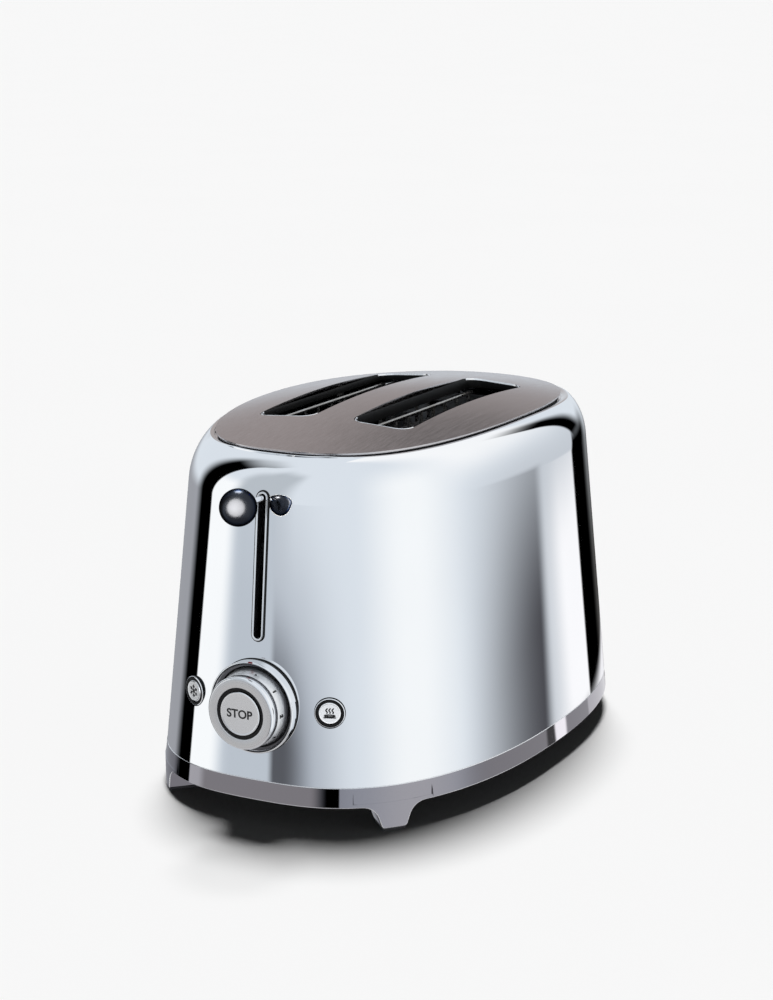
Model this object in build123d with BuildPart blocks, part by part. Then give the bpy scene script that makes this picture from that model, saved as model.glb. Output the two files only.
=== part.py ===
from build123d import *
import math
import os

os.makedirs("parts", exist_ok=True)

# Body: an oval sheet-metal shell that leans inwards and turns over at its shoulder
body_length = 306.0
body_width = 195.0
crown_top = 193.8
wall_lean = 0.1
side_lean_share = 0.78
shoulder_start = 161.0
shoulder_height = 27.0
shoulder_end_run = 32.0
shoulder_side_run = 15.0
end_bulge_base = 2.26
end_bulge_top = 2.14
side_bulge_base = 2.81
side_bulge_top = 2.58
shell_sheet = 1.0
oval_points = 24
shoulder_turn_step = 15
shoulder_turn_last = 75

# Base ring with its four feet, the pads and the two bottom plates
foot_height = 12.7
ring_height = 10.4
ring_flare = 1.2
ring_wall = 4.0
ring_flange = 2.0
ring_flange_width = 18.0
ring_lip_height = 1.9
foot_parameter = 35.4
foot_turn = 45.0
foot_tip_width = 12.6
foot_root_width = 21.0
foot_blend = 9.0
foot_tip_round = 2.0
foot_depth = 15.0
pad_height = 1.0
pad_margin = 0.5
base_sheet = 1.2
chassis_sheet = 1.2
vent_length = 34.0
vent_width = 3.0
vent_pitch = 12.0
vent_count = 6

# Crowned top panel with its two bread slots
panel_length = 246.2
panel_width = 148.6
panel_shift = -1.2
panel_end_drop = 9.7
panel_side_drop = 6.9
panel_sheet = 1.2
panel_stand = 1.2
panel_gap = 0.6
gasket_height = 2.0
gasket_margin = 1.0
gasket_width = 5.0
seat_width = 7.0
slot_length = 141.5
slot_width = 33.3
slot_offset = 27.55
slot_shift = -0.65
slot_corner = 8.0
liner_wall = 0.8
liner_depth = 8.3
liner_flange = 3.0

# Toasting chamber
bulkhead_margin = 11.2
bulkhead_half_width = 62.0
bulkhead_sheet = 1.2
bulkhead_drop = 14.8
bulkhead_foot = 8.0
reflector_sheet = 0.8
reflector_margin = 9.3
chamber_gap = 8.0
board_sheet = 0.8
board_offset = 21.5
board_bottom_gap = 8.0
board_top_gap = 14.0
ribbon_width = 1.6
ribbon_thickness = 0.25
ribbon_runs = 10
ribbon_margin = 9.0
guide_wire = 1.8
guide_rail = 2.0
guide_offset = 15.2
guide_travel = 8.0
guide_wires = 10
guide_end_gap = 6.0
guide_top_drop = 11.0
guide_mid_gap = 7.0
guide_bottom_gap = 22.0
guide_stick_out = 2.5
guide_slot_play = 0.6

# Lever, carriage and bread carriers
lever_height = 162.8
lever_travel = 67.0
knob_diameter = 18.4
knob_stand = 23.0
stem_diameter = 3.0
stem_socket = 8.0
stem_flange_diameter = 12.0
stem_flange = 1.5
slit_clearance = 0.4
trim_width = 7.7
trim_barrel = 1.0
trim_stand = 1.0
trim_depth = 1.5
carriage_distance = 18.0
carriage_sheet = 1.5
crossbar_half_width = 35.0
crossbar_rise = 7.0
crossbar_drop = 5.0
upright_half_width = 16.0
upright_rise = 5.0
rod_distance = 24.0
rod_diameter = 5.0
bush_diameter = 10.0
bush_rise = 2.0
web_half_width = 2.0
carrier_sheet = 1.5
carrier_height = 10.0
carrier_finger = 16.0
carrier_finger_length = 1.6
carrier_finger_height = 2.0
carrier_fingers = 8
carrier_low_gap = 3.0
carrier_end = 4.0
carrier_slot_play = 1.0
spring_wire = 1.4
spring_turns = 10
spring_play = 1.0
bracket_half_width = 10.0
bracket_sheet = 1.2
bracket_tab = 12.0
bracket_drop = 3.0
keeper_height = 2.0
keeper_length = 12.0
keeper_width = 16.0
keeper_offset = 26.0
core_leg = 8.0
core_base = 4.0
coil_top_gap = 4.0
contact_height = 13.0
leaf_sheet = 0.5
leaf_width = 3.5
leaf_spacing = 5.0

# Browning dial with the stop button in its middle
dial_height = 60.0
dial_stand = 14.7
knob_radius = 18.5
knob_round = 1.4
knob_band = 5.0
knob_groove = 0.6
rim_front_radius = 18.3
rim_back_radius = 20.2
dial_bore = 13.15
insert_wall = 1.7
insert_recess = 0.8
insert_slack = 0.05
stop_play = 0.3
stop_travel = 1.5
stop_stand = 0.3
stop_cap = 8.0
stop_rod_radius = 3.0
bezel_radius = 23.5
bezel_inner = 20.8
bezel_stand = 4.3
bezel_recess = 4.6
bezel_scoop = 2.6
bezel_scoop_depth = 0.5
bezel_floor = 5.5
bezel_fit = 0.06
bezel_flange = 2.0
bezel_flange_sheet = 1.2
bezel_round = 0.7
dial_back_gap = 0.4

# Two small push buttons square to the curved wall
button_offset = 38.75
button_height = 60.4
button_turn = 23.0
button_radius = 5.5
button_stand = 0.9
button_travel = 1.5
button_play = 0.3
button_ring_radius = 7.5
button_ring_stand = 0.7
button_depth = 5.5
button_ring_depth = 5.2
button_flange = 1.5
button_flange_sheet = 1.0

# Control board
board_distance = 15.3
pcb_sheet = 1.6
pcb_half_width = 46.0
pcb_bottom = 34.0
pcb_top = 86.0
encoder_inner = 9.0
encoder_outer = 15.5
encoder_height = 5.0
switch_size = 6.0
switch_height = 3.4
post_diameter = 5.0
post_inset = 4.0
relay_height = 4.8
relay_width = 18.0
relay_length = 20.0
capacitor_radius = 4.0
switch_gap = 0.2

# Crumb tray at the rear
tray_half_width = 52.0
tray_lift = 10.1
tray_height = 6.8
tray_sheet = 0.8
tray_front_gap = 7.0
tray_window_play = 0.5
tray_front_margin = 4.0
tray_front_drop = 1.2
tray_front_rise = 2.5
tray_pull = 4.0
tray_pull_half_width = 15.0
tray_pull_height = 3.5
rail_sheet = 1.2
rail_ledge = 3.0
rail_play = 1.5
rail_leg_gap = 1.3
rail_rise = 2.0
rail_end = 128.0

# Tie posts, screws, terminal block and cable gland
post_x = 55.0
post_y = 66.0
tie_diameter = 6.5
screw_radius = 1.5
screw_length = 12.0
screw_head_radius = 3.5
screw_head_height = 1.2
hole_play = 0.3
terminal_length = 18.0
terminal_width = 13.0
terminal_height = 15.0
terminal_x = 98.0
terminal_y = 65.0
gland_x = 95.0
gland_y = -45.0
gland_radius = 6.0
gland_flange = 3.0
gland_flange_sheet = 1.3
gland_bore = 3.6
gland_rise = 3.0

# Clearances
seat_gap = 0.3
fit_gap = 0.25
surface_gap = 0.15
rod_fit = 0.05

# Heights that follow from the sizes above
ring_top = foot_height + ring_height
plate_bottom = foot_height + ring_flange
plate_top = plate_bottom + base_sheet
chassis_top = plate_top + chassis_sheet
tray_bottom = chassis_top + tray_lift
tray_top = tray_bottom + tray_height
chamber_bottom = tray_top + chamber_gap
bulkhead_top = crown_top - bulkhead_drop
carrier_low = chamber_bottom + carrier_low_gap
carrier_rest = carrier_low + lever_travel
crossbar_bottom = carrier_rest - crossbar_drop
crossbar_top = carrier_rest + crossbar_rise
bush_bottom = crossbar_bottom + bush_rise
bush_top = lever_height + upright_rise
seat_drop = panel_sheet + gasket_height
slit_width = stem_diameter + 2 * slit_clearance
bracket_bottom = bulkhead_top - bracket_drop
guide_top = crown_top - guide_top_drop
guide_mid = bulkhead_top - guide_mid_gap
guide_bottom = chamber_bottom + guide_bottom_gap
board_bottom = chamber_bottom + board_bottom_gap
board_top = bulkhead_top - board_top_gap
core_top = crossbar_bottom - lever_travel - keeper_height - seat_gap
leaf_top = crossbar_bottom - lever_travel - seat_gap


def plan_size(height):
    """Half length and half width of the body's plan at a height."""
    lean = wall_lean * (height - ring_top)
    turn = 0.0
    if height > shoulder_start:
        turn = 1 - math.sqrt(1 - ((height - shoulder_start) / shoulder_height) ** 2)
    half_length = body_length / 2 - lean - shoulder_end_run * turn
    half_width = body_width / 2 - side_lean_share * lean - shoulder_side_run * turn
    return half_length, half_width


def plan_bulges(height):
    """Exponents of the plan's oval at a height, lengthways and across."""
    share = (height - ring_top) / (crown_top - ring_top)
    end_bulge = end_bulge_base + share * (end_bulge_top - end_bulge_base)
    side_bulge = side_bulge_base + share * (side_bulge_top - side_bulge_base)
    return end_bulge, side_bulge


def oval_point(half_length, half_width, height, angle):
    """Point of the oval plan at a parameter angle in degrees."""
    end_bulge, side_bulge = plan_bulges(height)
    along, across = math.cos(math.radians(angle)), math.sin(math.radians(angle))
    return (
        math.copysign(half_length * abs(along) ** (2 / end_bulge), along),
        math.copysign(half_width * abs(across) ** (2 / side_bulge), across),
    )


def oval_face(half_length, half_width, height):
    """Face of the oval plan, about the middle of the sketch that it is added to."""
    points = []
    for step in range(oval_points):
        points.append(oval_point(half_length, half_width, height, 360 * step / oval_points))
    with BuildSketch(Plane.XY, mode=Mode.PRIVATE) as oval:
        with BuildLine():
            Spline(*points, periodic=True)
        make_face()
    return oval.sketch_local


def wall_x(across, height):
    """Distance from the body's middle to the end wall, at one place on it."""
    half_length, half_width = plan_size(height)
    end_bulge, side_bulge = plan_bulges(height)
    return half_length * (1 - (abs(across) / half_width) ** side_bulge) ** (1 / end_bulge)


# The origin is under the middle of the whole toaster, so the body stands a little to the rear
lever_end = plan_size(lever_height)[0]
knob_reach = lever_end + knob_stand + knob_diameter / 2
rear_reach = plan_size(tray_bottom)[0] + tray_pull
body_x = (knob_reach - rear_reach) / 2
panel_x = body_x + panel_shift
slot_x = panel_x + slot_shift
slot_front = slot_x - slot_length / 2
slot_rear = slot_x + slot_length / 2
front_wall = slot_front - bulkhead_margin
rear_wall = slot_rear + bulkhead_margin
knob_x = body_x - lever_end - knob_stand
carriage_x = body_x - lever_end + carriage_distance
rod_x = front_wall - rod_distance
dial_wall = body_x - plan_size(dial_height)[0]
dial_face = dial_wall - dial_stand
bezel_face = dial_wall - bezel_stand
bezel_seat = bezel_face + bezel_recess
bezel_back = bezel_seat + bezel_floor
pcb_x = dial_wall + board_distance
pcb_back = pcb_x + pcb_sheet
reflector_y = slot_offset + board_offset + reflector_margin


def body_form(inset, bottom):
    """Solid of the body's outer form, drawn in by an inset on all sides."""
    shoulder = []
    for turn in range(0, shoulder_turn_last + 1, shoulder_turn_step):
        shoulder.append(shoulder_start + shoulder_height * math.sin(math.radians(turn)))
    with BuildPart() as form:
        for levels in ((bottom, shoulder_start), shoulder):
            for level in levels:
                half_length, half_width = plan_size(level)
                with BuildSketch(Plane((body_x, 0, level - inset))):
                    add(oval_face(half_length - inset, half_width - inset, level))
            loft()
    return form.part


def crown_radius(reach, drop):
    """Radius of an arc that falls by a drop at a reach from its top."""
    return (reach**2 + drop**2) / (2 * drop)


def above_crown(drop):
    """Space over the crowned top surface, which is lowered by a drop."""
    end_radius = crown_radius(panel_length / 2, panel_end_drop)
    side_radius = crown_radius(panel_width / 2, panel_side_drop)
    reach = body_width / 2 + shoulder_side_run
    edge = crown_top - side_radius + math.sqrt((side_radius - drop) ** 2 - reach**2)
    cover = crown_top + shoulder_height
    with BuildPart() as space:
        with BuildSketch(Plane((panel_x, 0, 0), x_dir=(0, 1, 0), z_dir=(1, 0, 0))):
            with BuildLine():
                ThreePointArc((-reach, edge), (0, crown_top - drop), (reach, edge))
                Polyline((reach, edge), (reach, cover), (-reach, cover), (-reach, edge))
            make_face()
        revolve(axis=Axis((panel_x, 0, crown_top - end_radius), (0, 1, 0)), revolution_arc=360)
    return space.part


def panel_prism(margin):
    """Upright prism on the top panel's outline, grown by a margin."""
    with BuildPart() as prism:
        with BuildSketch(Plane((panel_x, 0, shoulder_start))):
            add(oval_face(panel_length / 2 + margin, panel_width / 2 + margin, crown_top))
        extrude(amount=crown_top + shoulder_height - shoulder_start)
    return prism.part


def block(x_range, y_range, z_range, mode=Mode.ADD):
    """Box between two limits on each axis, in the current part."""
    middle = (sum(x_range) / 2, sum(y_range) / 2, sum(z_range) / 2)
    size = (x_range[1] - x_range[0], y_range[1] - y_range[0], z_range[1] - z_range[0])
    with Locations(middle):
        Box(*size, mode=mode)


def end_plane(x, across=0.0, height=0.0):
    """Plane square to the body's length that faces the lever end."""
    return Plane((x, across, height), x_dir=(0, -1, 0), z_dir=(-1, 0, 0))


def button_plane(side, depth):
    """Plane square to the wall at a push button, at a depth under the wall."""
    turn = math.radians(button_turn)
    outward = Vector(-math.cos(turn), side * math.sin(turn), 0)
    point = Vector(body_x - wall_x(button_offset, button_height), side * button_offset, button_height)
    origin = point - outward * depth
    return Plane(origin, x_dir=Vector(0, 0, 1).cross(outward), z_dir=outward)


def slot_shape(width, low, high):
    """Upright round-ended slot between two heights, in the current sketch."""
    with Locations((0, (low + high) / 2)):
        SlotOverall(high - low, width, rotation=90)


outer_form = body_form(0, ring_top)
inner_form = body_form(shell_sheet, ring_top)
crown_stand = above_crown(panel_stand)
slit_low = lever_height - lever_travel - slit_width / 2
slit_high = lever_height + slit_width / 2
trim_margin = (trim_width - slit_width) / 2
window_low = tray_bottom - tray_front_drop - tray_window_play
window_high = tray_top + tray_front_rise + tray_window_play
window_half = tray_half_width + tray_front_margin + tray_window_play

# Space inside the shell, less the turned-in seat round the top opening
with BuildPart() as shell_hollow:
    add(inner_form)
    add(above_crown(panel_stand + shell_sheet), mode=Mode.SUBTRACT)
    add(panel_prism(panel_gap + shell_sheet) & above_crown(seat_drop + shell_sheet), mode=Mode.SUBTRACT)

# Mirror-polished shell, one sheet with every opening cut in it
with BuildPart() as body_shell:
    add(outer_form)
    add(crown_stand, mode=Mode.SUBTRACT)
    add(shell_hollow.part, mode=Mode.SUBTRACT)
    add(panel_prism(panel_gap) & above_crown(seat_drop), mode=Mode.SUBTRACT)
    add(panel_prism(-seat_width), mode=Mode.SUBTRACT)
    with BuildSketch(end_plane(body_x)):
        slot_shape(slit_width + 2 * trim_barrel + 2 * fit_gap, slit_low - trim_barrel - fit_gap,
                   slit_high + trim_barrel + fit_gap)
        with Locations((0, dial_height)):
            Circle(bezel_radius + seat_gap)
    extrude(amount=body_length, mode=Mode.SUBTRACT)
    for side in (-1, 1):
        with BuildSketch(button_plane(side, 0)):
            Circle(button_ring_radius + seat_gap)
        extrude(amount=body_width / 8, both=True, mode=Mode.SUBTRACT)
    block((body_x, body_x + body_length), (-window_half, window_half), (window_low, window_high),
          mode=Mode.SUBTRACT)
body_shell.part.label = "body_shell"
export_step(body_shell.part, "parts/body_shell.step")

# Crowned top panel with two round-cornered bread slots
with BuildPart() as top_panel:
    add(panel_prism(0))
    add(above_crown(panel_sheet), mode=Mode.INTERSECT)
    add(above_crown(0), mode=Mode.SUBTRACT)
    with BuildSketch(Plane((slot_x, 0, shoulder_start))):
        with Locations((0, slot_offset), (0, -slot_offset)):
            RectangleRounded(slot_length, slot_width, slot_corner)
    extrude(amount=crown_top, mode=Mode.SUBTRACT)
top_panel.part.label = "top_panel"
export_step(top_panel.part, "parts/top_panel.step")

# Soft gasket between the panel and the shell's seat
with BuildPart() as panel_gasket:
    add(panel_prism(-gasket_margin))
    add(above_crown(seat_drop - surface_gap), mode=Mode.INTERSECT)
    add(above_crown(panel_sheet + surface_gap), mode=Mode.SUBTRACT)
    add(panel_prism(-gasket_margin - gasket_width), mode=Mode.SUBTRACT)
panel_gasket.part.label = "panel_gasket"
export_step(panel_gasket.part, "parts/panel_gasket.step")

# Black liner that hangs in each bread slot
for side, name in ((1, "left"), (-1, "right")):
    with BuildPart() as slot_liner:
        with BuildSketch(Plane((slot_x, side * slot_offset, crown_top - liner_depth))):
            RectangleRounded(slot_length - 2 * fit_gap, slot_width - 2 * fit_gap, slot_corner - fit_gap)
        extrude(amount=liner_depth)
        with BuildSketch(Plane((slot_x, side * slot_offset, crown_top - liner_depth))):
            RectangleRounded(slot_length + 2 * liner_flange, slot_width + 2 * liner_flange,
                             slot_corner + liner_flange)
        extrude(amount=liner_depth)
        add(above_crown(panel_sheet + surface_gap + liner_wall), mode=Mode.INTERSECT)
        add(above_crown(panel_sheet + surface_gap), mode=Mode.SUBTRACT)
        with BuildSketch(Plane((slot_x, side * slot_offset, crown_top - liner_depth))):
            RectangleRounded(slot_length - 2 * fit_gap, slot_width - 2 * fit_gap, slot_corner - fit_gap)
        extrude(amount=liner_depth)
        add(above_crown(surface_gap), mode=Mode.SUBTRACT)
        with BuildSketch(Plane((slot_x, side * slot_offset, shoulder_start))):
            RectangleRounded(slot_length - 2 * fit_gap - 2 * liner_wall,
                             slot_width - 2 * fit_gap - 2 * liner_wall,
                             slot_corner - fit_gap - liner_wall)
        extrude(amount=crown_top, mode=Mode.SUBTRACT)
    slot_liner.part.label = f"slot_liner_{name}"
    export_step(slot_liner.part, f"parts/slot_liner_{name}.step")


def foot_plane(across, along, outset):
    """Upright plane on the ring's outline at one foot, facing inwards."""
    half_length, half_width = plan_size(ring_top)
    corner = oval_point(half_length + ring_flare, half_width + ring_flare, ring_top, foot_parameter)
    turn = math.radians(foot_turn)
    inward = Vector(-along * math.cos(turn), -across * math.sin(turn), 0)
    origin = Vector(body_x + along * corner[0], across * corner[1], 0) - inward * outset
    return Plane(origin, x_dir=Vector(0, 0, 1).cross(inward), z_dir=inward)


# Four tapered feet with a wide blend where they leave the ring
with BuildPart() as ring_feet:
    tip, root, reach = foot_tip_width / 2, foot_root_width / 2, foot_root_width
    outset = ring_flange_width / 2
    for along in (-1, 1):
        for across in (-1, 1):
            with BuildSketch(foot_plane(across, along, outset)):
                with BuildLine():
                    Polyline((-tip, pad_height), (tip, pad_height), (root, foot_height),
                             (reach, foot_height), (reach, plate_bottom), (-reach, plate_bottom),
                             (-reach, foot_height), (-root, foot_height), (-tip, pad_height))
                make_face()
                fillet(vertices().sort_by(Axis.Y)[:2], radius=foot_tip_round)
                fillet(vertices().sort_by(Axis.Y)[4:8].sort_by_distance((0, foot_height))[:2], radius=foot_blend)
            extrude(amount=outset + foot_depth)
    half_length, half_width = plan_size(ring_top)
    with BuildSketch(Plane((body_x, 0, 0))):
        add(oval_face(half_length + ring_flare, half_width + ring_flare, ring_top))
    extrude(amount=plate_bottom, mode=Mode.INTERSECT)

# Satin base ring with a bottom flange, a locating lip and four feet
with BuildPart() as base_ring:
    half_length, half_width = plan_size(ring_top)
    with BuildSketch(Plane((body_x, 0, foot_height))):
        add(oval_face(half_length + ring_flare, half_width + ring_flare, ring_top))
    with BuildSketch(Plane((body_x, 0, ring_top))):
        add(oval_face(half_length, half_width, ring_top))
    loft(ruled=True)
    lip = shell_sheet + seat_gap
    with BuildSketch(Plane((body_x, 0, ring_top))):
        add(oval_face(half_length - lip, half_width - lip, ring_top))
    extrude(amount=ring_lip_height)
    with BuildSketch(Plane((body_x, 0, plate_bottom))):
        add(oval_face(half_length - ring_wall, half_width - ring_wall, ring_top))
    extrude(amount=ring_height + ring_lip_height, mode=Mode.SUBTRACT)
    with BuildSketch(Plane((body_x, 0, foot_height))):
        add(oval_face(half_length - ring_flange_width, half_width - ring_flange_width, ring_top))
    extrude(amount=ring_flange, mode=Mode.SUBTRACT)
    block((body_x, body_x + body_length), (-window_half, window_half),
          (window_low, window_high), mode=Mode.SUBTRACT)
    add(ring_feet.part)
base_ring.part.label = "base_ring"
export_step(base_ring.part, "parts/base_ring.step")

# Rubber pads under the feet, one solid a foot
with BuildPart() as foot_pads:
    for along in (-1, 1):
        for across in (-1, 1):
            with BuildSketch(foot_plane(across, along, 0)):
                with Locations((0, pad_height / 2)):
                    Rectangle(foot_tip_width - 2 * pad_margin, pad_height)
            extrude(amount=foot_depth - pad_margin)
    half_length, half_width = plan_size(ring_top)
    with BuildSketch(Plane((body_x, 0, 0))):
        add(oval_face(half_length + ring_flare - pad_margin, half_width + ring_flare - pad_margin, ring_top))
    extrude(amount=pad_height, mode=Mode.INTERSECT)
foot_pads.part.label = "foot_pads"
export_step(foot_pads.part, "parts/foot_pads.step")

# Bottom plate with vents, resting on the ring's flange
screw_places = [(x, y) for x in (-post_x, post_x) for y in (-post_y, post_y)]
with BuildPart() as base_plate:
    margin = ring_wall + seat_gap
    with BuildSketch(Plane((body_x, 0, plate_bottom))):
        add(oval_face(half_length - margin, half_width - margin, ring_top))
        with Locations(*screw_places):
            Circle(screw_radius + hole_play, mode=Mode.SUBTRACT)
        with Locations((gland_x, gland_y)):
            Circle(gland_radius + hole_play, mode=Mode.SUBTRACT)
        with GridLocations(vent_pitch, 2 * vent_length, vent_count, 2):
            SlotOverall(vent_length, vent_width, rotation=90, mode=Mode.SUBTRACT)
    extrude(amount=base_sheet)
base_plate.part.label = "base_plate"
export_step(base_plate.part, "parts/base_plate.step")

# Chassis floor on the bottom plate, which carries everything inside
with BuildPart() as chassis_floor:
    margin = ring_wall + 2 * seat_gap
    with BuildSketch(Plane((body_x, 0, plate_top))):
        add(oval_face(half_length - margin, half_width - margin, ring_top))
        with Locations(*screw_places):
            Circle(screw_radius + hole_play, mode=Mode.SUBTRACT)
        with Locations((gland_x, gland_y)):
            Circle(gland_radius + hole_play, mode=Mode.SUBTRACT)
    extrude(amount=chassis_sheet)
chassis_floor.part.label = "chassis_floor"
export_step(chassis_floor.part, "parts/chassis_floor.step")

# Four posts that tie the shell's seat to the chassis
with BuildPart() as tie_posts:
    with BuildSketch(Plane((body_x, 0, chassis_top))):
        with Locations(*screw_places):
            Circle(tie_diameter / 2)
    extrude(amount=crown_top - chassis_top)
    add(above_crown(seat_drop + shell_sheet + seat_gap), mode=Mode.SUBTRACT)
    with BuildSketch(Plane((body_x, 0, chassis_top))):
        with Locations(*screw_places):
            Circle(screw_radius + surface_gap)
    extrude(amount=screw_length, mode=Mode.SUBTRACT)
tie_posts.part.label = "tie_posts"
export_step(tie_posts.part, "parts/tie_posts.step")

# Four screws from under the bottom plate into the posts
with BuildPart() as base_screws:
    with BuildSketch(Plane((body_x, 0, plate_bottom - screw_head_height))):
        with Locations(*screw_places):
            Circle(screw_head_radius)
            RegularPolygon(screw_radius, 6, mode=Mode.SUBTRACT)
    extrude(amount=screw_head_height)
    with BuildSketch(Plane((body_x, 0, plate_bottom - screw_head_height / 2))):
        with Locations(*screw_places):
            Circle(screw_radius)
    extrude(amount=screw_length)
base_screws.part.label = "base_screws"
export_step(base_screws.part, "parts/base_screws.step")

# Raised trim round the lever's slit, with a barrel through the shell
with BuildPart() as slot_trim:
    with BuildSketch(end_plane(body_x)):
        slot_shape(trim_width, slit_low - trim_margin, slit_high + trim_margin)
    extrude(amount=body_length)
    add(body_form(-surface_gap, ring_top), mode=Mode.SUBTRACT)
    with BuildSketch(end_plane(body_x)):
        slot_shape(slit_width + 2 * trim_barrel, slit_low - trim_barrel, slit_high + trim_barrel)
    extrude(amount=body_length)
    add(body_form(-trim_stand, ring_top), mode=Mode.INTERSECT)
    add(body_form(shell_sheet + trim_depth, ring_top), mode=Mode.SUBTRACT)
    with BuildSketch(end_plane(body_x)):
        slot_shape(slit_width, slit_low, slit_high)
    extrude(amount=body_length, mode=Mode.SUBTRACT)
slot_trim.part.label = "slot_trim"
export_step(slot_trim.part, "parts/slot_trim.step")

# Ball knob of the lever, with a socket for the stem
with BuildPart(end_plane(knob_x, 0, lever_height)) as lever_knob:
    Sphere(knob_diameter / 2)
    with BuildSketch(end_plane(knob_x, 0, lever_height)):
        Circle(stem_diameter / 2 + rod_fit)
    extrude(amount=-knob_diameter, mode=Mode.SUBTRACT)
lever_knob.part.label = "lever_knob"
export_step(lever_knob.part, "parts/lever_knob.step")

# Stem from the knob through the slit to the carriage
with BuildPart() as lever_arm:
    with BuildSketch(end_plane(carriage_x, 0, lever_height)):
        Circle(stem_flange_diameter / 2)
    extrude(amount=stem_flange)
    with BuildSketch(end_plane(carriage_x, 0, lever_height)):
        Circle(stem_diameter / 2)
    extrude(amount=carriage_x - knob_x)
lever_arm.part.label = "lever_arm"
export_step(lever_arm.part, "parts/lever_arm.step")

# Carriage plate with its bush on the guide rod
with BuildPart() as carriage:
    plate = (carriage_x, carriage_x + carriage_sheet)
    block(plate, (-crossbar_half_width, crossbar_half_width), (crossbar_bottom, crossbar_top))
    block(plate, (-upright_half_width, upright_half_width), (crossbar_bottom, bush_top))
    block((carriage_x, rod_x), (-web_half_width, web_half_width), (bush_bottom, bush_top))
    with BuildSketch(Plane((rod_x, 0, bush_bottom))):
        Circle(bush_diameter / 2)
    extrude(amount=bush_top - bush_bottom)
    with BuildSketch(Plane((rod_x, 0, bush_bottom))):
        Circle(rod_diameter / 2 + rod_fit)
    extrude(amount=bush_top - bush_bottom, mode=Mode.SUBTRACT)
carriage.part.label = "carriage"
export_step(carriage.part, "parts/carriage.step")

# Guide rod between the chassis floor and its bracket
with BuildPart() as guide_rod:
    with BuildSketch(Plane((rod_x, 0, chassis_top))):
        Circle(rod_diameter / 2)
    extrude(amount=bracket_bottom - chassis_top)
guide_rod.part.label = "guide_rod"
export_step(guide_rod.part, "parts/guide_rod.step")

# Bracket that holds the top of the guide rod
with BuildPart() as rod_bracket:
    arm = (-bracket_half_width, bracket_half_width)
    block((rod_x - bracket_half_width, front_wall), arm, (bracket_bottom, bracket_bottom + bracket_sheet))
    block((front_wall - bracket_sheet, front_wall), arm, (bracket_bottom - bracket_tab, bracket_bottom))
rod_bracket.part.label = "rod_bracket"
export_step(rod_bracket.part, "parts/rod_bracket.step")

# Return spring round the guide rod, one unbroken wire
spring_low = chassis_top + seat_gap + spring_wire / 2
spring_high = bush_bottom - seat_gap - spring_wire / 2
spring_radius = rod_diameter / 2 + spring_play + spring_wire / 2
spring_pitch = (spring_high - spring_low) / spring_turns
with BuildPart() as return_spring:
    with BuildLine() as spring_path:
        Helix(spring_pitch, spring_high - spring_low, spring_radius, center=(rod_x, 0, spring_low))
    with BuildSketch(Plane(spring_path.line @ 0, z_dir=spring_path.line % 0)):
        Circle(spring_wire / 2)
    sweep(is_frenet=True)
return_spring.part.label = "return_spring"
export_step(return_spring.part, "parts/return_spring.step")
print("return_spring least gap", round(spring_pitch - spring_wire, 2))

# Steel keeper under the carriage, which the magnet holds down
keeper_x = carriage_x + carriage_sheet / 2
keeper_span = (keeper_x - keeper_length / 2, keeper_x + keeper_length / 2)
magnet_span = (keeper_offset - keeper_width / 2, keeper_offset + keeper_width / 2)
with BuildPart() as keeper:
    block(keeper_span, magnet_span, (crossbar_bottom - keeper_height, crossbar_bottom))
keeper.part.label = "keeper"
export_step(keeper.part, "parts/keeper.step")

# Magnet core on the chassis floor
with BuildPart() as magnet_core:
    block(keeper_span, magnet_span, (chassis_top, chassis_top + core_base))
    block((keeper_x - core_leg / 2, keeper_x + core_leg / 2),
          (keeper_offset - core_leg / 2, keeper_offset + core_leg / 2), (chassis_top, core_top))
magnet_core.part.label = "magnet_core"
export_step(magnet_core.part, "parts/magnet_core.step")

# Wound coil on the magnet's leg, closed in its tape
with BuildPart() as magnet_coil:
    with BuildSketch(Plane((keeper_x, keeper_offset, chassis_top + core_base))):
        RectangleRounded(keeper_length, keeper_width, surface_gap + ring_flare)
        Rectangle(core_leg + 2 * surface_gap, core_leg + 2 * surface_gap, mode=Mode.SUBTRACT)
    extrude(amount=core_top - coil_top_gap - chassis_top - core_base)
magnet_coil.part.label = "magnet_coil"
export_step(magnet_coil.part, "parts/magnet_coil.step")

# Main contact block, pressed by the carriage at the bottom of its travel
contact_span = (-magnet_span[1], -magnet_span[0])
with BuildPart() as contact_block:
    block(keeper_span, contact_span, (chassis_top, chassis_top + contact_height))
contact_block.part.label = "contact_block"
export_step(contact_block.part, "parts/contact_block.step")

# Two spring leaves on the contact block
with BuildPart() as contact_leaves:
    for side in (-1, 1):
        middle = -keeper_offset + side * leaf_spacing / 2
        block((keeper_x - leaf_sheet / 2, keeper_x + leaf_sheet / 2),
              (middle - leaf_width / 2, middle + leaf_width / 2), (chassis_top + contact_height, leaf_top))
contact_leaves.part.label = "contact_leaves"
export_step(contact_leaves.part, "parts/contact_leaves.step")

# Bread carriers, one toothed strip a slot
carrier_rear = rear_wall + bulkhead_sheet + carrier_end
for side, name in ((1, "left"), (-1, "right")):
    with BuildPart() as bread_carrier:
        strip = (side * slot_offset - carrier_sheet / 2, side * slot_offset + carrier_sheet / 2)
        block((carriage_x + carriage_sheet, carrier_rear), strip, (carrier_rest, carrier_rest + carrier_height))
        with BuildSketch(Plane((slot_x, side * slot_offset, carrier_rest))):
            with GridLocations(slot_length / carrier_fingers, 1, carrier_fingers, 1):
                Rectangle(carrier_finger_length, carrier_finger)
        extrude(amount=carrier_finger_height)
    bread_carrier.part.label = f"bread_carrier_{name}"
    export_step(bread_carrier.part, f"parts/bread_carrier_{name}.step")


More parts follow.
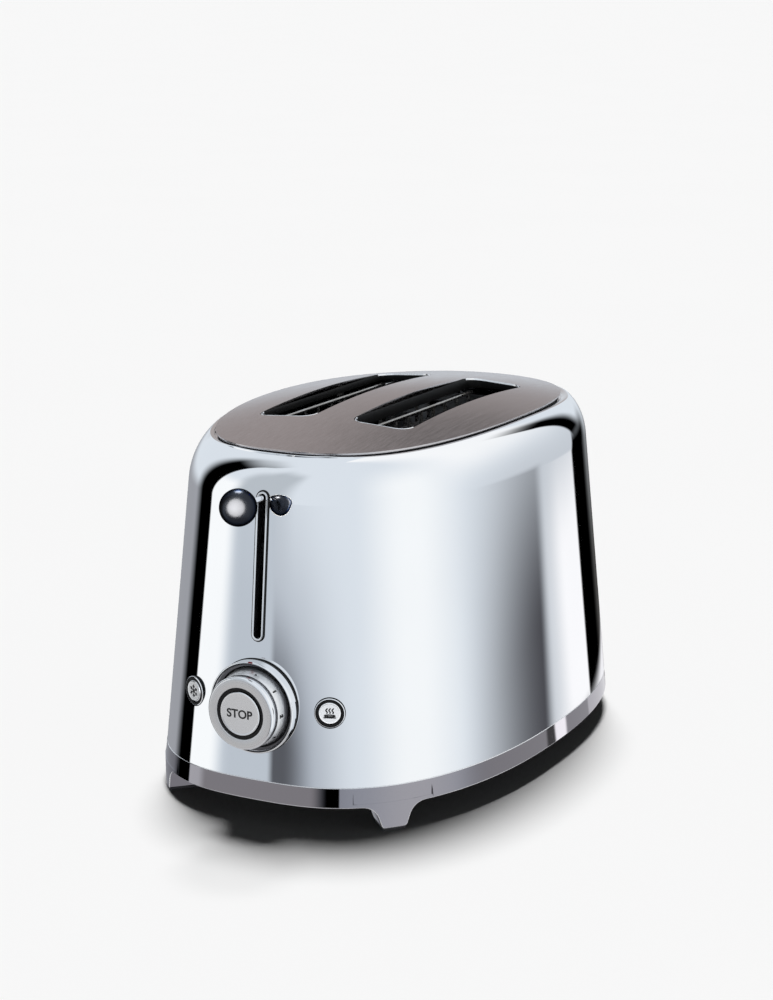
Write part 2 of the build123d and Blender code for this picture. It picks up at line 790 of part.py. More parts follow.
def cut_bulkhead_slots(x):
    """Slots for the bread carriers and the guide rails, through a bulkhead at x."""
    span = (x - bulkhead_sheet, x + 2 * bulkhead_sheet)
    strip = carrier_sheet / 2 + carrier_slot_play
    rail = guide_rail / 2 + guide_slot_play
    for middle in (-slot_offset, slot_offset):
        block(span, (middle - strip, middle + strip),
              (carrier_low - 2 * carrier_slot_play, carrier_rest + carrier_height + 2 * carrier_slot_play),
              mode=Mode.SUBTRACT)
        for height in (guide_bottom, guide_mid):
            for near, far in ((guide_offset - guide_travel - rail, guide_offset + rail),
                              (-guide_offset - rail, guide_travel - guide_offset + rail)):
                block(span, (middle + near, middle + far), (height - rail, height + rail),
                      mode=Mode.SUBTRACT)


# Front bulkhead between the toasting chamber and the controls
with BuildPart() as front_bulkhead:
    width = (-bulkhead_half_width, bulkhead_half_width)
    block((front_wall, front_wall + bulkhead_sheet), width, (chassis_top, bulkhead_top))
    block((front_wall - bulkhead_foot, front_wall), width, (chassis_top, chassis_top + bulkhead_sheet))
    cut_bulkhead_slots(front_wall)
front_bulkhead.part.label = "front_bulkhead"
export_step(front_bulkhead.part, "parts/front_bulkhead.step")

# Rear bulkhead, open at its foot for the crumb tray
rail_y = tray_half_width + rail_play
with BuildPart() as rear_bulkhead:
    block((rear_wall, rear_wall + bulkhead_sheet), width, (chassis_top, bulkhead_top))
    block((rear_wall, rear_wall + bulkhead_foot), width, (chassis_top, chassis_top + bulkhead_sheet))
    gate = rail_y + rail_sheet + rail_leg_gap
    block((rear_wall - bulkhead_foot, rear_wall + 2 * bulkhead_foot), (-gate, gate),
          (chassis_top, tray_top + chamber_gap / 2), mode=Mode.SUBTRACT)
    cut_bulkhead_slots(rear_wall)
rear_bulkhead.part.label = "rear_bulkhead"
export_step(rear_bulkhead.part, "parts/rear_bulkhead.step")

# Polished side reflectors between the bulkheads
chamber = (front_wall + bulkhead_sheet, rear_wall)
for side, name in ((1, "left"), (-1, "right")):
    with BuildPart() as reflector:
        sheet = sorted((side * reflector_y, side * (reflector_y + reflector_sheet)))
        block(chamber, sheet, (chamber_bottom, guide_mid))
    reflector.part.label = f"side_reflector_{name}"
    export_step(reflector.part, f"parts/side_reflector_{name}.step")

# Divider between the two slots
with BuildPart() as centre_divider:
    block(chamber, (-reflector_sheet / 2, reflector_sheet / 2), (chamber_bottom, guide_mid))
centre_divider.part.label = "centre_divider"
export_step(centre_divider.part, "parts/centre_divider.step")

# Mica boards with one long zigzag heating ribbon each, and the wire guides before them
ribbon_span = (chamber[0] + ribbon_margin, chamber[1] - ribbon_margin)
ribbon_low = board_bottom + ribbon_margin / 2
ribbon_pitch = (board_top - board_bottom - ribbon_margin) / (ribbon_runs - 1)
wire_pitch = (slot_length - 2 * guide_end_gap) / (guide_wires - 1)
for side, name in ((1, "left"), (-1, "right")):
    for outward, place in ((1, "outer"), (-1, "inner")):
        away = side * outward
        middle = side * slot_offset + away * board_offset
        with BuildPart() as heater_board:
            block(chamber, (middle - board_sheet / 2, middle + board_sheet / 2), (board_bottom, board_top))
        heater_board.part.label = f"heater_board_{name}_{place}"
        export_step(heater_board.part, f"parts/{heater_board.part.label}.step")

        face = middle - away * board_sheet / 2
        skin = sorted((face, face - away * ribbon_thickness))
        with BuildPart() as heater_ribbon:
            for run in range(ribbon_runs):
                height = ribbon_low + run * ribbon_pitch
                block(ribbon_span, skin, (height - ribbon_width / 2, height + ribbon_width / 2))
                if run:
                    end = ribbon_span[run % 2]
                    block((end - ribbon_width / 2, end + ribbon_width / 2), skin,
                          (height - ribbon_pitch - ribbon_width / 2, height + ribbon_width / 2))
        heater_ribbon.part.label = f"heater_ribbon_{name}_{place}"
        export_step(heater_ribbon.part, f"parts/{heater_ribbon.part.label}.step")

        row = side * slot_offset + away * guide_offset
        with BuildPart() as bread_guide:
            stick = guide_stick_out + bulkhead_sheet
            for height, start, end in (
                (guide_bottom, chamber[0] - stick, chamber[1] + stick),
                (guide_mid, chamber[0] - stick, chamber[1] + stick),
                (guide_top, slot_front + guide_rail, slot_rear - guide_rail),
            ):
                with BuildSketch(Plane((start, row, height), x_dir=(0, 1, 0), z_dir=(1, 0, 0))):
                    Circle(guide_rail / 2)
                extrude(amount=end - start)
            with BuildSketch(Plane((slot_x, row, guide_bottom))):
                with GridLocations(wire_pitch, 1, guide_wires, 1):
                    Circle(guide_wire / 2)
            extrude(amount=guide_top - guide_bottom)
        bread_guide.part.label = f"bread_guide_{name}_{place}"
        export_step(bread_guide.part, f"parts/{bread_guide.part.label}.step")

dial_plane = Plane((0, 0, dial_height), x_dir=(1, 0, 0), z_dir=(0, -1, 0))
dial_axis = Axis((0, 0, dial_height), (1, 0, 0))
insert_radius = dial_bore - insert_slack
insert_bore = insert_radius - insert_wall
insert_end = pcb_x - encoder_height - seat_gap

# Turning knob of the browning dial, with a conical numbered rim
with BuildPart() as dial_knob:
    with BuildSketch(dial_plane):
        knob_back = bezel_seat - dial_back_gap
        band_end = dial_face + knob_band
        with BuildLine():
            Line((dial_face, dial_bore), (dial_face, knob_radius - knob_round))
            RadiusArc((dial_face, knob_radius - knob_round), (dial_face + knob_round, knob_radius), knob_round)
            Polyline((dial_face + knob_round, knob_radius), (band_end, knob_radius),
                     (band_end, knob_radius - knob_groove),
                     (band_end + knob_groove, knob_radius - knob_groove),
                     (band_end + knob_groove, rim_front_radius), (knob_back, rim_back_radius),
                     (knob_back, dial_bore), (dial_face, dial_bore))
        make_face()
    revolve(axis=dial_axis)
dial_knob.part.label = "dial_knob"
export_step(dial_knob.part, "parts/dial_knob.step")

# Black insert tube of the knob, which turns in the bezel and drives the encoder
with BuildPart() as dial_insert:
    with BuildSketch(end_plane(insert_end, 0, dial_height)):
        Circle(insert_radius)
        Circle(insert_bore, mode=Mode.SUBTRACT)
    extrude(amount=insert_end - dial_face - insert_recess)
dial_insert.part.label = "dial_insert"
export_step(dial_insert.part, "parts/dial_insert.step")

# Fixed polished bezel round the dial, scooped inwards at its front
with BuildPart() as dial_bezel:
    with BuildSketch(dial_plane):
        crest = bezel_radius - bezel_round
        scoop_end = (bezel_face + bezel_scoop, bezel_inner)
        scoop_middle = (bezel_face + bezel_scoop / 2 + bezel_scoop_depth,
                        (crest + bezel_inner) / 2 + bezel_scoop_depth)
        bore = insert_radius + bezel_fit
        flange_back = bezel_back + bezel_flange_sheet
        with BuildLine():
            RadiusArc((bezel_face, crest), (bezel_face + bezel_round, bezel_radius), bezel_round)
            Polyline((bezel_face + bezel_round, bezel_radius), (bezel_back, bezel_radius),
                     (bezel_back, bezel_radius + bezel_flange), (flange_back, bezel_radius + bezel_flange),
                     (flange_back, bore), (bezel_seat, bore), (bezel_seat, bezel_inner), scoop_end)
            ThreePointArc(scoop_end, scoop_middle, (bezel_face, crest))
        make_face()
    revolve(axis=dial_axis)
dial_bezel.part.label = "dial_bezel"
export_step(dial_bezel.part, "parts/dial_bezel.step")

# Ring encoder that reads the dial, on the control board
with BuildPart() as dial_encoder:
    with BuildSketch(end_plane(pcb_x, 0, dial_height)):
        Circle(encoder_outer)
        Circle(encoder_inner, mode=Mode.SUBTRACT)
    extrude(amount=encoder_height)
dial_encoder.part.label = "dial_encoder"
export_step(dial_encoder.part, "parts/dial_encoder.step")

# Stop button that slides in the insert, with its rod towards the switch
stop_face = dial_face - stop_stand
stop_rod_end = pcb_x - switch_height - stop_travel - switch_gap
with BuildPart() as stop_button:
    with BuildSketch(end_plane(stop_face + stop_cap, 0, dial_height)):
        Circle(insert_bore - stop_play)
    extrude(amount=stop_cap)
    fillet(faces().sort_by(Axis.X)[0].edges(), radius=stop_play)
    with BuildSketch(end_plane(stop_rod_end, 0, dial_height)):
        Circle(stop_rod_radius)
    extrude(amount=stop_rod_end - stop_face - stop_cap / 2)
stop_button.part.label = "stop_button"
export_step(stop_button.part, "parts/stop_button.step")

# Defrost and reheat buttons in their black rings, square to the curved wall
for side, name in ((1, "defrost"), (-1, "reheat")):
    with BuildPart() as push_button:
        with BuildSketch(button_plane(side, button_depth)):
            Circle(button_radius)
        extrude(amount=button_depth + button_stand)
        fillet(faces().sort_by(Axis(button_plane(side, 0).origin, button_plane(side, 0).z_dir))[-1].edges(),
               radius=button_play)
    push_button.part.label = f"{name}_button"
    export_step(push_button.part, f"parts/{name}_button.step")

    with BuildPart() as button_ring:
        with BuildSketch(button_plane(side, button_ring_depth)):
            Circle(button_ring_radius)
        extrude(amount=button_ring_depth + button_ring_stand)
        with BuildSketch(button_plane(side, button_ring_depth)):
            Circle(button_ring_radius + button_flange)
        extrude(amount=button_flange_sheet)
        with BuildSketch(button_plane(side, button_ring_depth)):
            Circle(button_radius + button_play)
        extrude(amount=button_ring_depth + button_ring_stand, mode=Mode.SUBTRACT)
    button_ring.part.label = f"{name}_ring"
    export_step(button_ring.part, f"parts/{name}_ring.step")

# Control board behind the dial
with BuildPart() as control_board:
    block((pcb_x, pcb_back), (-pcb_half_width, pcb_half_width), (pcb_bottom, pcb_top))
control_board.part.label = "control_board"
export_step(control_board.part, "parts/control_board.step")

# Three push switches on the board, one behind each button
with BuildPart() as push_switches:
    half = switch_size / 2
    block((pcb_x - switch_height, pcb_x), (-half, half), (dial_height - half, dial_height + half))
    for side in (-1, 1):
        with BuildSketch(button_plane(side, button_depth + button_travel + switch_gap)):
            Rectangle(switch_size, switch_size)
        extrude(amount=-board_distance)
    block((pcb_x, pcb_x + body_length), (-body_width, body_width), (0, crown_top), mode=Mode.SUBTRACT)
push_switches.part.label = "push_switches"
export_step(push_switches.part, "parts/push_switches.step")

# Relay and capacitor on the back of the board
with BuildPart() as board_parts:
    block((pcb_back, pcb_back + relay_height), (-keeper_offset - relay_width / 2, relay_width / 2 - keeper_offset),
          (pcb_bottom + post_inset, pcb_bottom + post_inset + relay_length))
    with BuildSketch(end_plane(pcb_back + relay_height, 0, pcb_bottom + 2 * post_inset + capacitor_radius)):
        Circle(capacitor_radius)
    extrude(amount=relay_height)
board_parts.part.label = "board_parts"
export_step(board_parts.part, "parts/board_parts.step")

# Four posts that hold the board off the front bulkhead
with BuildPart() as board_posts:
    for across in (post_inset - pcb_half_width, pcb_half_width - post_inset):
        for height in (pcb_bottom + post_inset, pcb_top - post_inset):
            with BuildSketch(end_plane(front_wall, across, height)):
                Circle(post_diameter / 2)
    extrude(amount=front_wall - pcb_back)
board_posts.part.label = "board_posts"
export_step(board_posts.part, "parts/board_posts.step")

# Crumb tray pan, whose rear end follows the wall
tray_start = chamber[0] + tray_front_gap
tray_reach = body_x + body_length / 2
with BuildPart() as tray_space:
    block((tray_start + tray_sheet, tray_reach), (tray_sheet - tray_half_width, tray_half_width - tray_sheet),
          (tray_bottom + tray_sheet, tray_top + tray_height))
    add(body_form(shell_sheet + tray_sheet, ring_top), mode=Mode.INTERSECT)
with BuildPart() as crumb_tray:
    block((tray_start, tray_reach), (-tray_half_width, tray_half_width), (tray_bottom, tray_top))
    add(inner_form, mode=Mode.INTERSECT)
    add(tray_space.part, mode=Mode.SUBTRACT)
crumb_tray.part.label = "crumb_tray"
export_step(crumb_tray.part, "parts/crumb_tray.step")

# Tray front, a piece of the wall's own shape with a pull lip
with BuildPart() as pull_lip:
    block((body_x, tray_reach + tray_pull), (-tray_pull_half_width, tray_pull_half_width),
          (tray_top - tray_pull_height, tray_top))
    add(body_form(-tray_pull, ring_top), mode=Mode.INTERSECT)
with BuildPart() as tray_front:
    add(outer_form)
    add(pull_lip.part)
    add(inner_form, mode=Mode.SUBTRACT)
    front_half = tray_half_width + tray_front_margin
    block((body_x, tray_reach + tray_pull), (-front_half, front_half),
          (tray_bottom - tray_front_drop, tray_top + tray_front_rise), mode=Mode.INTERSECT)
tray_front.part.label = "tray_front"
export_step(tray_front.part, "parts/tray_front.step")

# Two angle rails that carry the tray
with BuildPart() as tray_rails:
    ledge_top = tray_bottom - seat_gap
    for side in (-1, 1):
        run = (chamber[0], body_x + rail_end)
        block(run, sorted((side * rail_y, side * (rail_y + rail_sheet))), (chassis_top, tray_top + rail_rise))
        block(run, sorted((side * rail_y, side * (rail_y - rail_ledge))), (ledge_top - rail_sheet, ledge_top))
tray_rails.part.label = "tray_rails"
export_step(tray_rails.part, "parts/tray_rails.step")

# Terminal block for the supply
with BuildPart() as terminal_block:
    with Locations((body_x + terminal_x, terminal_y, chassis_top + terminal_height / 2)):
        Box(terminal_length, terminal_width, terminal_height)
terminal_block.part.label = "terminal_block"
export_step(terminal_block.part, "parts/terminal_block.step")

# Cable gland through the bottom
with BuildPart() as cord_gland:
    gland_bottom = plate_bottom - gland_flange_sheet
    with BuildSketch(Plane((body_x + gland_x, gland_y, gland_bottom))):
        Circle(gland_radius + gland_flange)
    extrude(amount=gland_flange_sheet)
    with BuildSketch(Plane((body_x + gland_x, gland_y, gland_bottom))):
        Circle(gland_radius)
    extrude(amount=chassis_top + gland_rise - gland_bottom)
    with BuildSketch(Plane((body_x + gland_x, gland_y, gland_bottom))):
        Circle(gland_bore)
    extrude(amount=chassis_top + gland_rise - gland_bottom, mode=Mode.SUBTRACT)
cord_gland.part.label = "cord_gland"
export_step(cord_gland.part, "parts/cord_gland.step")
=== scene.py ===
"""Retro toaster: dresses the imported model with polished, satin and enamelled finishes in a pale studio."""

import math

import bmesh
import bpy
from bpy.props import FloatProperty, FloatVectorProperty, IntProperty, PointerProperty
from mathutils import Matrix, Vector


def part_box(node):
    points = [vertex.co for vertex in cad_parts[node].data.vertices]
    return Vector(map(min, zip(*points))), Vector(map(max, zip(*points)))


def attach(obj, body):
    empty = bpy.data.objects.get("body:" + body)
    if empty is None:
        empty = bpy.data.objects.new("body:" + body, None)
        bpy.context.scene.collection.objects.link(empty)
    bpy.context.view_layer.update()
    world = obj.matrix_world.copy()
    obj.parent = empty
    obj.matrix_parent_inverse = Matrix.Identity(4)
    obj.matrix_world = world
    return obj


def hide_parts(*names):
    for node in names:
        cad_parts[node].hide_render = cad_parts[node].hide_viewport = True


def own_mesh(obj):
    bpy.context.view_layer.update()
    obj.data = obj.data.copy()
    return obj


bl_info = {
    "name": "Retro Toaster",
    "version": (1, 0, 0),
    "blender": (4, 5, 0),
    "location": "View3D > Sidebar > Toaster",
    "description": "Makes the shell, panel, dial, lever, buttons and tray of a retro toaster round its frame",
    "category": "Add Mesh",
}

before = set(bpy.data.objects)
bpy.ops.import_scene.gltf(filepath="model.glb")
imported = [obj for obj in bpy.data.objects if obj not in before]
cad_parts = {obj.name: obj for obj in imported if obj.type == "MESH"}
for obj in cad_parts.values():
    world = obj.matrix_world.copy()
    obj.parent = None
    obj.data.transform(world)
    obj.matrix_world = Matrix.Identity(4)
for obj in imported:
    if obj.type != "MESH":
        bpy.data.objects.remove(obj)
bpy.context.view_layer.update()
MM = 0.001
UP = Vector((0, 0, 1))
TOUCH = 1e-6

SHELL_LOW, SHELL_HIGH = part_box("body_shell")
PANEL_LOW, PANEL_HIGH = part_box("top_panel")
RING_LOW, RING_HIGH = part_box("base_ring")
PLATE_LOW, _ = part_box("base_plate")
BEZEL_LOW, BEZEL_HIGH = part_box("dial_bezel")
KNOB_LOW, KNOB_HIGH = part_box("dial_knob")
INSERT_LOW, INSERT_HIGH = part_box("dial_insert")
STOP_LOW, STOP_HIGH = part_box("stop_button")
BALL_LOW, BALL_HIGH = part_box("lever_knob")
TRIM_LOW, TRIM_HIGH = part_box("slot_trim")
TRAY_LOW, TRAY_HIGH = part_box("tray_front")
BODY_X = (RING_LOW.x + RING_HIGH.x) / 2
PANEL_X = (PANEL_LOW.x + PANEL_HIGH.x) / 2
CROWN_TOP = PANEL_HIGH.z
RING_TOP = SHELL_LOW.z
FRONT = Vector((-1, 0, 0))
SCOOP_SAG = 0.55 * MM
SIGN_STROKE = 0.66 * MM


def length(name, description, default):
    """A size in metres, whose default is given in millimetres."""
    return FloatProperty(name=name, description=description, default=default * MM, unit="LENGTH", precision=5)


def share(name, description, default):
    """A plain number."""
    return FloatProperty(name=name, description=description, default=default, precision=3)


def colour(name, description, default):
    """A colour of a finish."""
    return FloatVectorProperty(
        name=name, description=description, default=default, size=3, subtype="COLOR", min=0, max=1
    )


class ShellForm(bpy.types.PropertyGroup):
    """Form of the polished shell."""

    wall_lean: share("Lean", "How far the wall leans in for each unit of height", 0.1)
    side_lean_share: share("Side lean", "Share of the lean that the long sides have", 0.78)
    shoulder_start: length("Shoulder start", "Height at which the wall begins to turn over", 161.0)
    shoulder_height: length("Shoulder height", "Height of the turned shoulder", 27.0)
    shoulder_end_run: length("Shoulder run, ends", "How far the shoulder turns in at the ends", 32.0)
    shoulder_side_run: length("Shoulder run, sides", "How far the shoulder turns in at the sides", 15.0)
    end_bulge_base: share("End bulge, base", "Exponent of the plan lengthways at the base", 2.26)
    end_bulge_top: share("End bulge, top", "Exponent of the plan lengthways at the top", 2.14)
    side_bulge_base: share("Side bulge, base", "Exponent of the plan across at the base", 2.81)
    side_bulge_top: share("Side bulge, top", "Exponent of the plan across at the top", 2.58)
    sheet: length("Sheet", "Thickness of the shell", 1.0)
    rim_round: length("Rim round", "Reach of the rounding where the shoulder meets the rim", 1.6)
    edge_round: length("Edge round", "Reach of the rounding at the joint with the panel", 0.35)
    tray_play: length("Tray play", "Gap between the tray's front and its window", 0.51)
    ring_lean: share("Ring lean", "Share of the base ring's flare that its shading shows", 0.45)


class PanelForm(bpy.types.PropertyGroup):
    """Form of the crowned panel, its joint and its two slots."""

    end_drop: length("End drop", "Fall of the crown at the panel's ends", 9.7)
    side_drop: length("Side drop", "Fall of the crown at the panel's sides", 6.9)
    sheet: length("Sheet", "Thickness of the panel", 1.2)
    stand: length("Stand", "How far the panel stands over the shell's rim", 1.2)
    joint: length("Joint", "Width of the joint round the panel", 0.6)
    seat_drop: length("Seat drop", "Depth of the seat under the crown", 3.2)
    seat_width: length("Seat width", "Width of the seat under the panel", 7.0)
    slot_length: length("Slot length", "Length of a bread slot", 141.5)
    slot_width: length("Slot width", "Width of a bread slot", 33.3)
    slot_corner: length("Slot corner", "Corner radius of a bread slot", 8.0)
    edge_round: length("Edge round", "Rounding of the panel's edges", 0.35)
    liner_gap: length("Liner gap", "Gap between the panel and the liner", 0.25)
    liner_wall: length("Liner wall", "Thickness of the liner", 0.8)
    liner_depth: length("Liner depth", "Depth of the liner under the crown's top", 8.3)
    liner_flange: length("Liner flange", "Width of the liner's flange under the panel", 3.0)


class LeverForm(bpy.types.PropertyGroup):
    """Form of the trim round the lever's slit, and the return spring."""

    slit_width: length("Slit width", "Width of the slit", 3.8)
    trim_width: length("Trim width", "Width of the trim over the slit", 7.7)
    trim_stand: length("Trim stand", "How far the trim stands off the wall", 1.0)
    trim_depth: length("Trim depth", "How far the trim reaches behind the wall", 2.5)
    hole_margin: length("Hole margin", "Margin of the shell's hole round the slit", 1.25)
    spring_wire: length("Spring wire", "Diameter of the return spring's wire", 1.4)
    spring_turns: IntProperty(name="Spring turns", description="Turns of the return spring", default=10)


class DialForm(bpy.types.PropertyGroup):
    """Form of the browning dial and its stop button."""

    knob_radius: length("Knob radius", "Radius of the knob's polished band", 18.5)
    knob_round: length("Knob round", "Rounding between the face and the band", 1.4)
    band: length("Band", "Length of the polished band", 5.0)
    groove: length("Groove", "Width and depth of the groove behind the band", 0.6)
    rim_radius: length("Rim radius", "Radius of the numbered rim at its front", 18.3)
    bore: length("Bore", "Radius of the hole for the insert", 13.15)
    insert_wall: length("Insert wall", "Thickness of the black insert", 1.7)
    bezel_inner: length("Bezel inner", "Inner radius of the bezel's scoop", 20.8)
    bezel_scoop: length("Bezel scoop", "Depth of the bezel's scoop", 2.6)
    bezel_seat: length("Bezel seat", "Depth of the bezel's floor under its face", 4.6)
    bezel_body: length("Bezel body", "Length of the bezel behind its floor", 5.5)
    bezel_flange: length("Bezel flange", "Width of the bezel's flange", 2.0)
    bezel_round: length("Bezel round", "Rounding of the bezel's lip", 0.7)
    # The bezel's black foot is a painted shadow where the bezel meets the wall
    bezel_shadow: length("Bezel foot", "Height of the bezel's black foot over the wall", 2.0)
    stop_cap: length("Stop cap", "Length of the stop button's cap", 8.0)
    stop_rod: length("Stop rod", "Radius of the stop button's rod", 3.0)
    stop_width: length("Stop word", "Width of the word on the stop button", 14.4)
    digit_height: length("Digit height", "Height of a number on the rim", 2.6)
    first_mark: share("First mark", "Angle of the dot from the pointer, in degrees", 14.0)
    digit_step: share("Digit step", "Angle between two numbers, in degrees", 39.0)
    digit_count: IntProperty(name="Numbers", description="How many numbers the rim has", default=6)


class ButtonForm(bpy.types.PropertyGroup):
    """Form of the two small push buttons."""

    turn: share("Turn", "How far the buttons' axes turn from the body's length, in degrees", 23.0)
    offset: length("Offset", "Distance of a button from the body's middle plane", 38.75)
    height: length("Height", "Height of the buttons' axes", 60.4)
    radius: length("Radius", "Radius of a button", 5.5)
    stand: length("Stand", "How far a button stands off the wall", 0.9)
    depth: length("Depth", "Depth of a button in the wall", 5.5)
    ring_radius: length("Ring radius", "Radius of a button's ring", 7.5)
    ring_stand: length("Ring stand", "How far the ring stands off the wall", 0.7)
    ring_depth: length("Ring depth", "Depth of the ring in the wall", 5.2)
    ring_flange: length("Ring flange", "Width of the ring's flange inside the wall", 1.5)
    play: length("Play", "Gap between the button and its ring", 0.3)
    seat_gap: length("Seat gap", "Gap between a round piece and its hole in the shell", 0.3)


class Finishes(bpy.types.PropertyGroup):
    """Colours of the finishes."""

    chrome: colour("Chrome", "Polished shell, bezel and knobs", (0.95, 0.955, 0.965))
    # The ball's dark colour is painted shade: the chrome ball is darkened to show dark reflections
    smoked: colour("Ball polish", "Ball knob of the lever", (0.032, 0.036, 0.046))
    panel: colour("Panel", "Satin panel", (0.64, 0.61, 0.615))
    ring: colour("Ring", "Satin base ring", (0.335, 0.322, 0.352))
    dial: colour("Dial", "Satin face and rim of the dial", (0.80, 0.80, 0.805))
    black: colour("Black", "Moulded black pieces", (0.012, 0.012, 0.013))
    ink: colour("Ink", "Printed words and signs", (0.006, 0.006, 0.006))
    pointer: colour("Pointer", "Pointer over the dial", (0.36, 0.006, 0.014))
    sheet: colour("Plain sheet", "Sheet metal inside", (0.36, 0.36, 0.37))


class Studio(bpy.types.PropertyGroup):
    """Camera, floor and light."""

    azimuth: share("Azimuth", "Where the camera stands round the toaster, in degrees", -62.36)
    elevation: share("Elevation", "How high the camera stands, in degrees", 14.90)
    distance: length("Distance", "From the camera to the point that it looks at", 1252.15)
    aim_height: length("Aim height", "Height of the point that the camera looks at", 90.0)
    lens: share("Lens", "Focal length in millimetres", 82.72)
    shift_x: share("Shift across", "Lens shift to the side", -0.0098)
    shift_y: share("Shift up", "Lens shift upwards", 0.0776)
    floor: colour("Floor", "Pale floor", (0.90, 0.90, 0.90))
    backdrop: colour("Backdrop", "Pale backdrop", (0.914, 0.914, 0.914))
    light: FloatProperty(name="Light", description="Strength of the studio's walls", default=1.0)
    fill: colour("Fill", "Soft light from all round on matte pieces", (0.012, 0.012, 0.012))
    sun: FloatProperty(name="Window", description="Strength of the soft window light", default=3.34)


# Forms


def forms():
    """The scene's settings for the toaster."""
    return bpy.context.scene


def plan_size(height):
    """Half length and half width of the shell's plan at a height."""
    form = forms().toaster_shell
    lean = form.wall_lean * (height - RING_TOP)
    turn = 0.0
    if height > form.shoulder_start:
        rise = min(1.0, (height - form.shoulder_start) / form.shoulder_height)
        turn = 1 - math.sqrt(1 - rise**2)
    half_length = (SHELL_HIGH.x - SHELL_LOW.x) / 2 - lean - form.shoulder_end_run * turn
    half_width = (SHELL_HIGH.y - SHELL_LOW.y) / 2 - form.side_lean_share * lean - form.shoulder_side_run * turn
    return half_length, half_width


def plan_bulges(height):
    """Exponents of the plan's oval at a height, lengthways and across."""
    form = forms().toaster_shell
    rise = (height - RING_TOP) / (CROWN_TOP - RING_TOP)
    end_bulge = form.end_bulge_base + rise * (form.end_bulge_top - form.end_bulge_base)
    side_bulge = form.side_bulge_base + rise * (form.side_bulge_top - form.side_bulge_base)
    return end_bulge, side_bulge


def oval_point(half_length, half_width, bulges, direction, steps=8):
    """Point of an oval plan in a direction from its middle, found by Newton's steps."""
    along, across = math.cos(direction), math.sin(direction)
    reach = 1 / math.hypot(along / half_length, across / half_width)
    for _ in range(steps):
        ends = abs(reach * along / half_length) ** bulges[0]
        sides = abs(reach * across / half_width) ** bulges[1]
        reach -= reach * (ends + sides - 1) / (bulges[0] * ends + bulges[1] * sides)
    return reach * along, reach * across


def oval_measure(point, half_length, half_width, bulges):
    """Below one inside an oval plan, and above one outside it."""
    along, across = abs(point.x - BODY_X) / half_length, abs(point.y) / half_width
    return along ** bulges[0] + across ** bulges[1]


def shell_point(height, direction):
    """Point of the shell's outer surface at a height."""
    along, across = oval_point(*plan_size(height), plan_bulges(height), direction)
    return Vector((BODY_X + along, across, height))


def panel_point(margin, direction):
    """Plan point of the panel's outline, grown by a margin."""
    half_length = (PANEL_HIGH.x - PANEL_LOW.x) / 2 + margin
    half_width = (PANEL_HIGH.y - PANEL_LOW.y) / 2 + margin
    along, across = oval_point(half_length, half_width, plan_bulges(CROWN_TOP), direction)
    return Vector((PANEL_X + along, across, 0))


def wall_x(across, height, outset=0.0):
    """Where the lever end's wall stands, at one place on it."""
    half_length, half_width = plan_size(height)
    end_bulge, side_bulge = plan_bulges(height)
    reach = half_length * (1 - abs(across / half_width) ** side_bulge) ** (1 / end_bulge)
    return BODY_X - reach - outset


def arc_radius(reach, drop):
    """Radius of an arc that falls by a drop at a reach from its top."""
    return (reach**2 + drop**2) / (2 * drop)


def crown_height(point, drop=0.0):
    """Height of the crowned top over a plan point, lowered by a drop."""
    form = forms().toaster_panel
    side_radius = arc_radius((PANEL_HIGH.y - PANEL_LOW.y) / 2, form.side_drop)
    end_radius = arc_radius((PANEL_HIGH.x - PANEL_LOW.x) / 2, form.end_drop)
    side = side_radius - math.sqrt((side_radius - drop) ** 2 - point.y**2)
    return CROWN_TOP - end_radius + math.sqrt((end_radius - side) ** 2 - (point.x - PANEL_X) ** 2)


def gradient(field, point, step=2e-5):
    """Unit gradient of a field at a point."""
    slopes = []
    for axis in range(3):
        reach = Vector((0, 0, 0))
        reach[axis] = step
        slopes.append(field(point + reach) - field(point - reach))
    return Vector(slopes).normalized()


def shell_field(point):
    """Below one inside the shell's form, and above one outside it."""
    return oval_measure(point, *plan_size(point.z), plan_bulges(point.z))


def shell_normal(point, last=0.98):
    """Outward normal of the shell's wall, and of its shoulder but for the last share of its height."""
    form = forms().toaster_shell
    if point.z > form.shoulder_start + last * form.shoulder_height:
        return None
    return gradient(shell_field, point)


def crown_normal(point):
    """Upward normal of the crowned top."""
    return gradient(lambda place: place.z - crown_height(place), point)


def ring_normal(point):
    """Outward normal of the base ring's band and feet."""
    half_length, half_width = plan_size(RING_TOP)
    flare = forms().toaster_shell.ring_lean * ((RING_HIGH.x - RING_LOW.x) / 2 - half_length)
    band = RING_TOP - PLATE_LOW.z + 2 * MM

    def field(place):
        spread_out = flare * max(0.0, (RING_TOP - place.z) / band)
        return oval_measure(place, half_length + spread_out, half_width + spread_out, plan_bulges(RING_TOP))

    return gradient(field, point)


# Mesh helpers


def rounded(points, reach, steps=3, closed=False):
    """The same run of points with each inner corner turned into a short curve."""
    made = []
    count = len(points)
    for index, point in enumerate(points):
        if not closed and index in (0, count - 1):
            made.append(point)
            continue
        before, after = points[index - 1], points[(index + 1) % count]
        start = point + (before - point) * min(0.45, reach / max((before - point).length, TOUCH))
        end = point + (after - point) * min(0.45, reach / max((after - point).length, TOUCH))
        for step in range(steps + 1):
            part = step / steps
            made.append(start.lerp(point, part).lerp(point.lerp(end, part), part))
    return made


def vectors(*points):
    """Vectors of some plain points."""
    return [Vector(point) for point in points]


def weld(bm):
    """Joins the corners that touch."""
    bmesh.ops.remove_doubles(bm, verts=bm.verts, dist=TOUCH)


def face_outwards(bm):
    """Turns a mesh's faces to its outside."""
    bmesh.ops.recalc_face_normals(bm, faces=bm.faces)


def with_settings(item, **settings):
    """The same item, with some of its settings changed."""
    for name, value in settings.items():
        setattr(item, name, value)
    return item


def linked(name, data):
    """New object of some data, linked to the scene."""
    item = bpy.data.objects.new(name, data)
    bpy.context.scene.collection.objects.link(item)
    return item


def shown_mesh(item):
    """New mesh of an object's evaluated form."""
    bpy.context.view_layer.update()
    return bpy.data.meshes.new_from_object(item.evaluated_get(bpy.context.evaluated_depsgraph_get()))


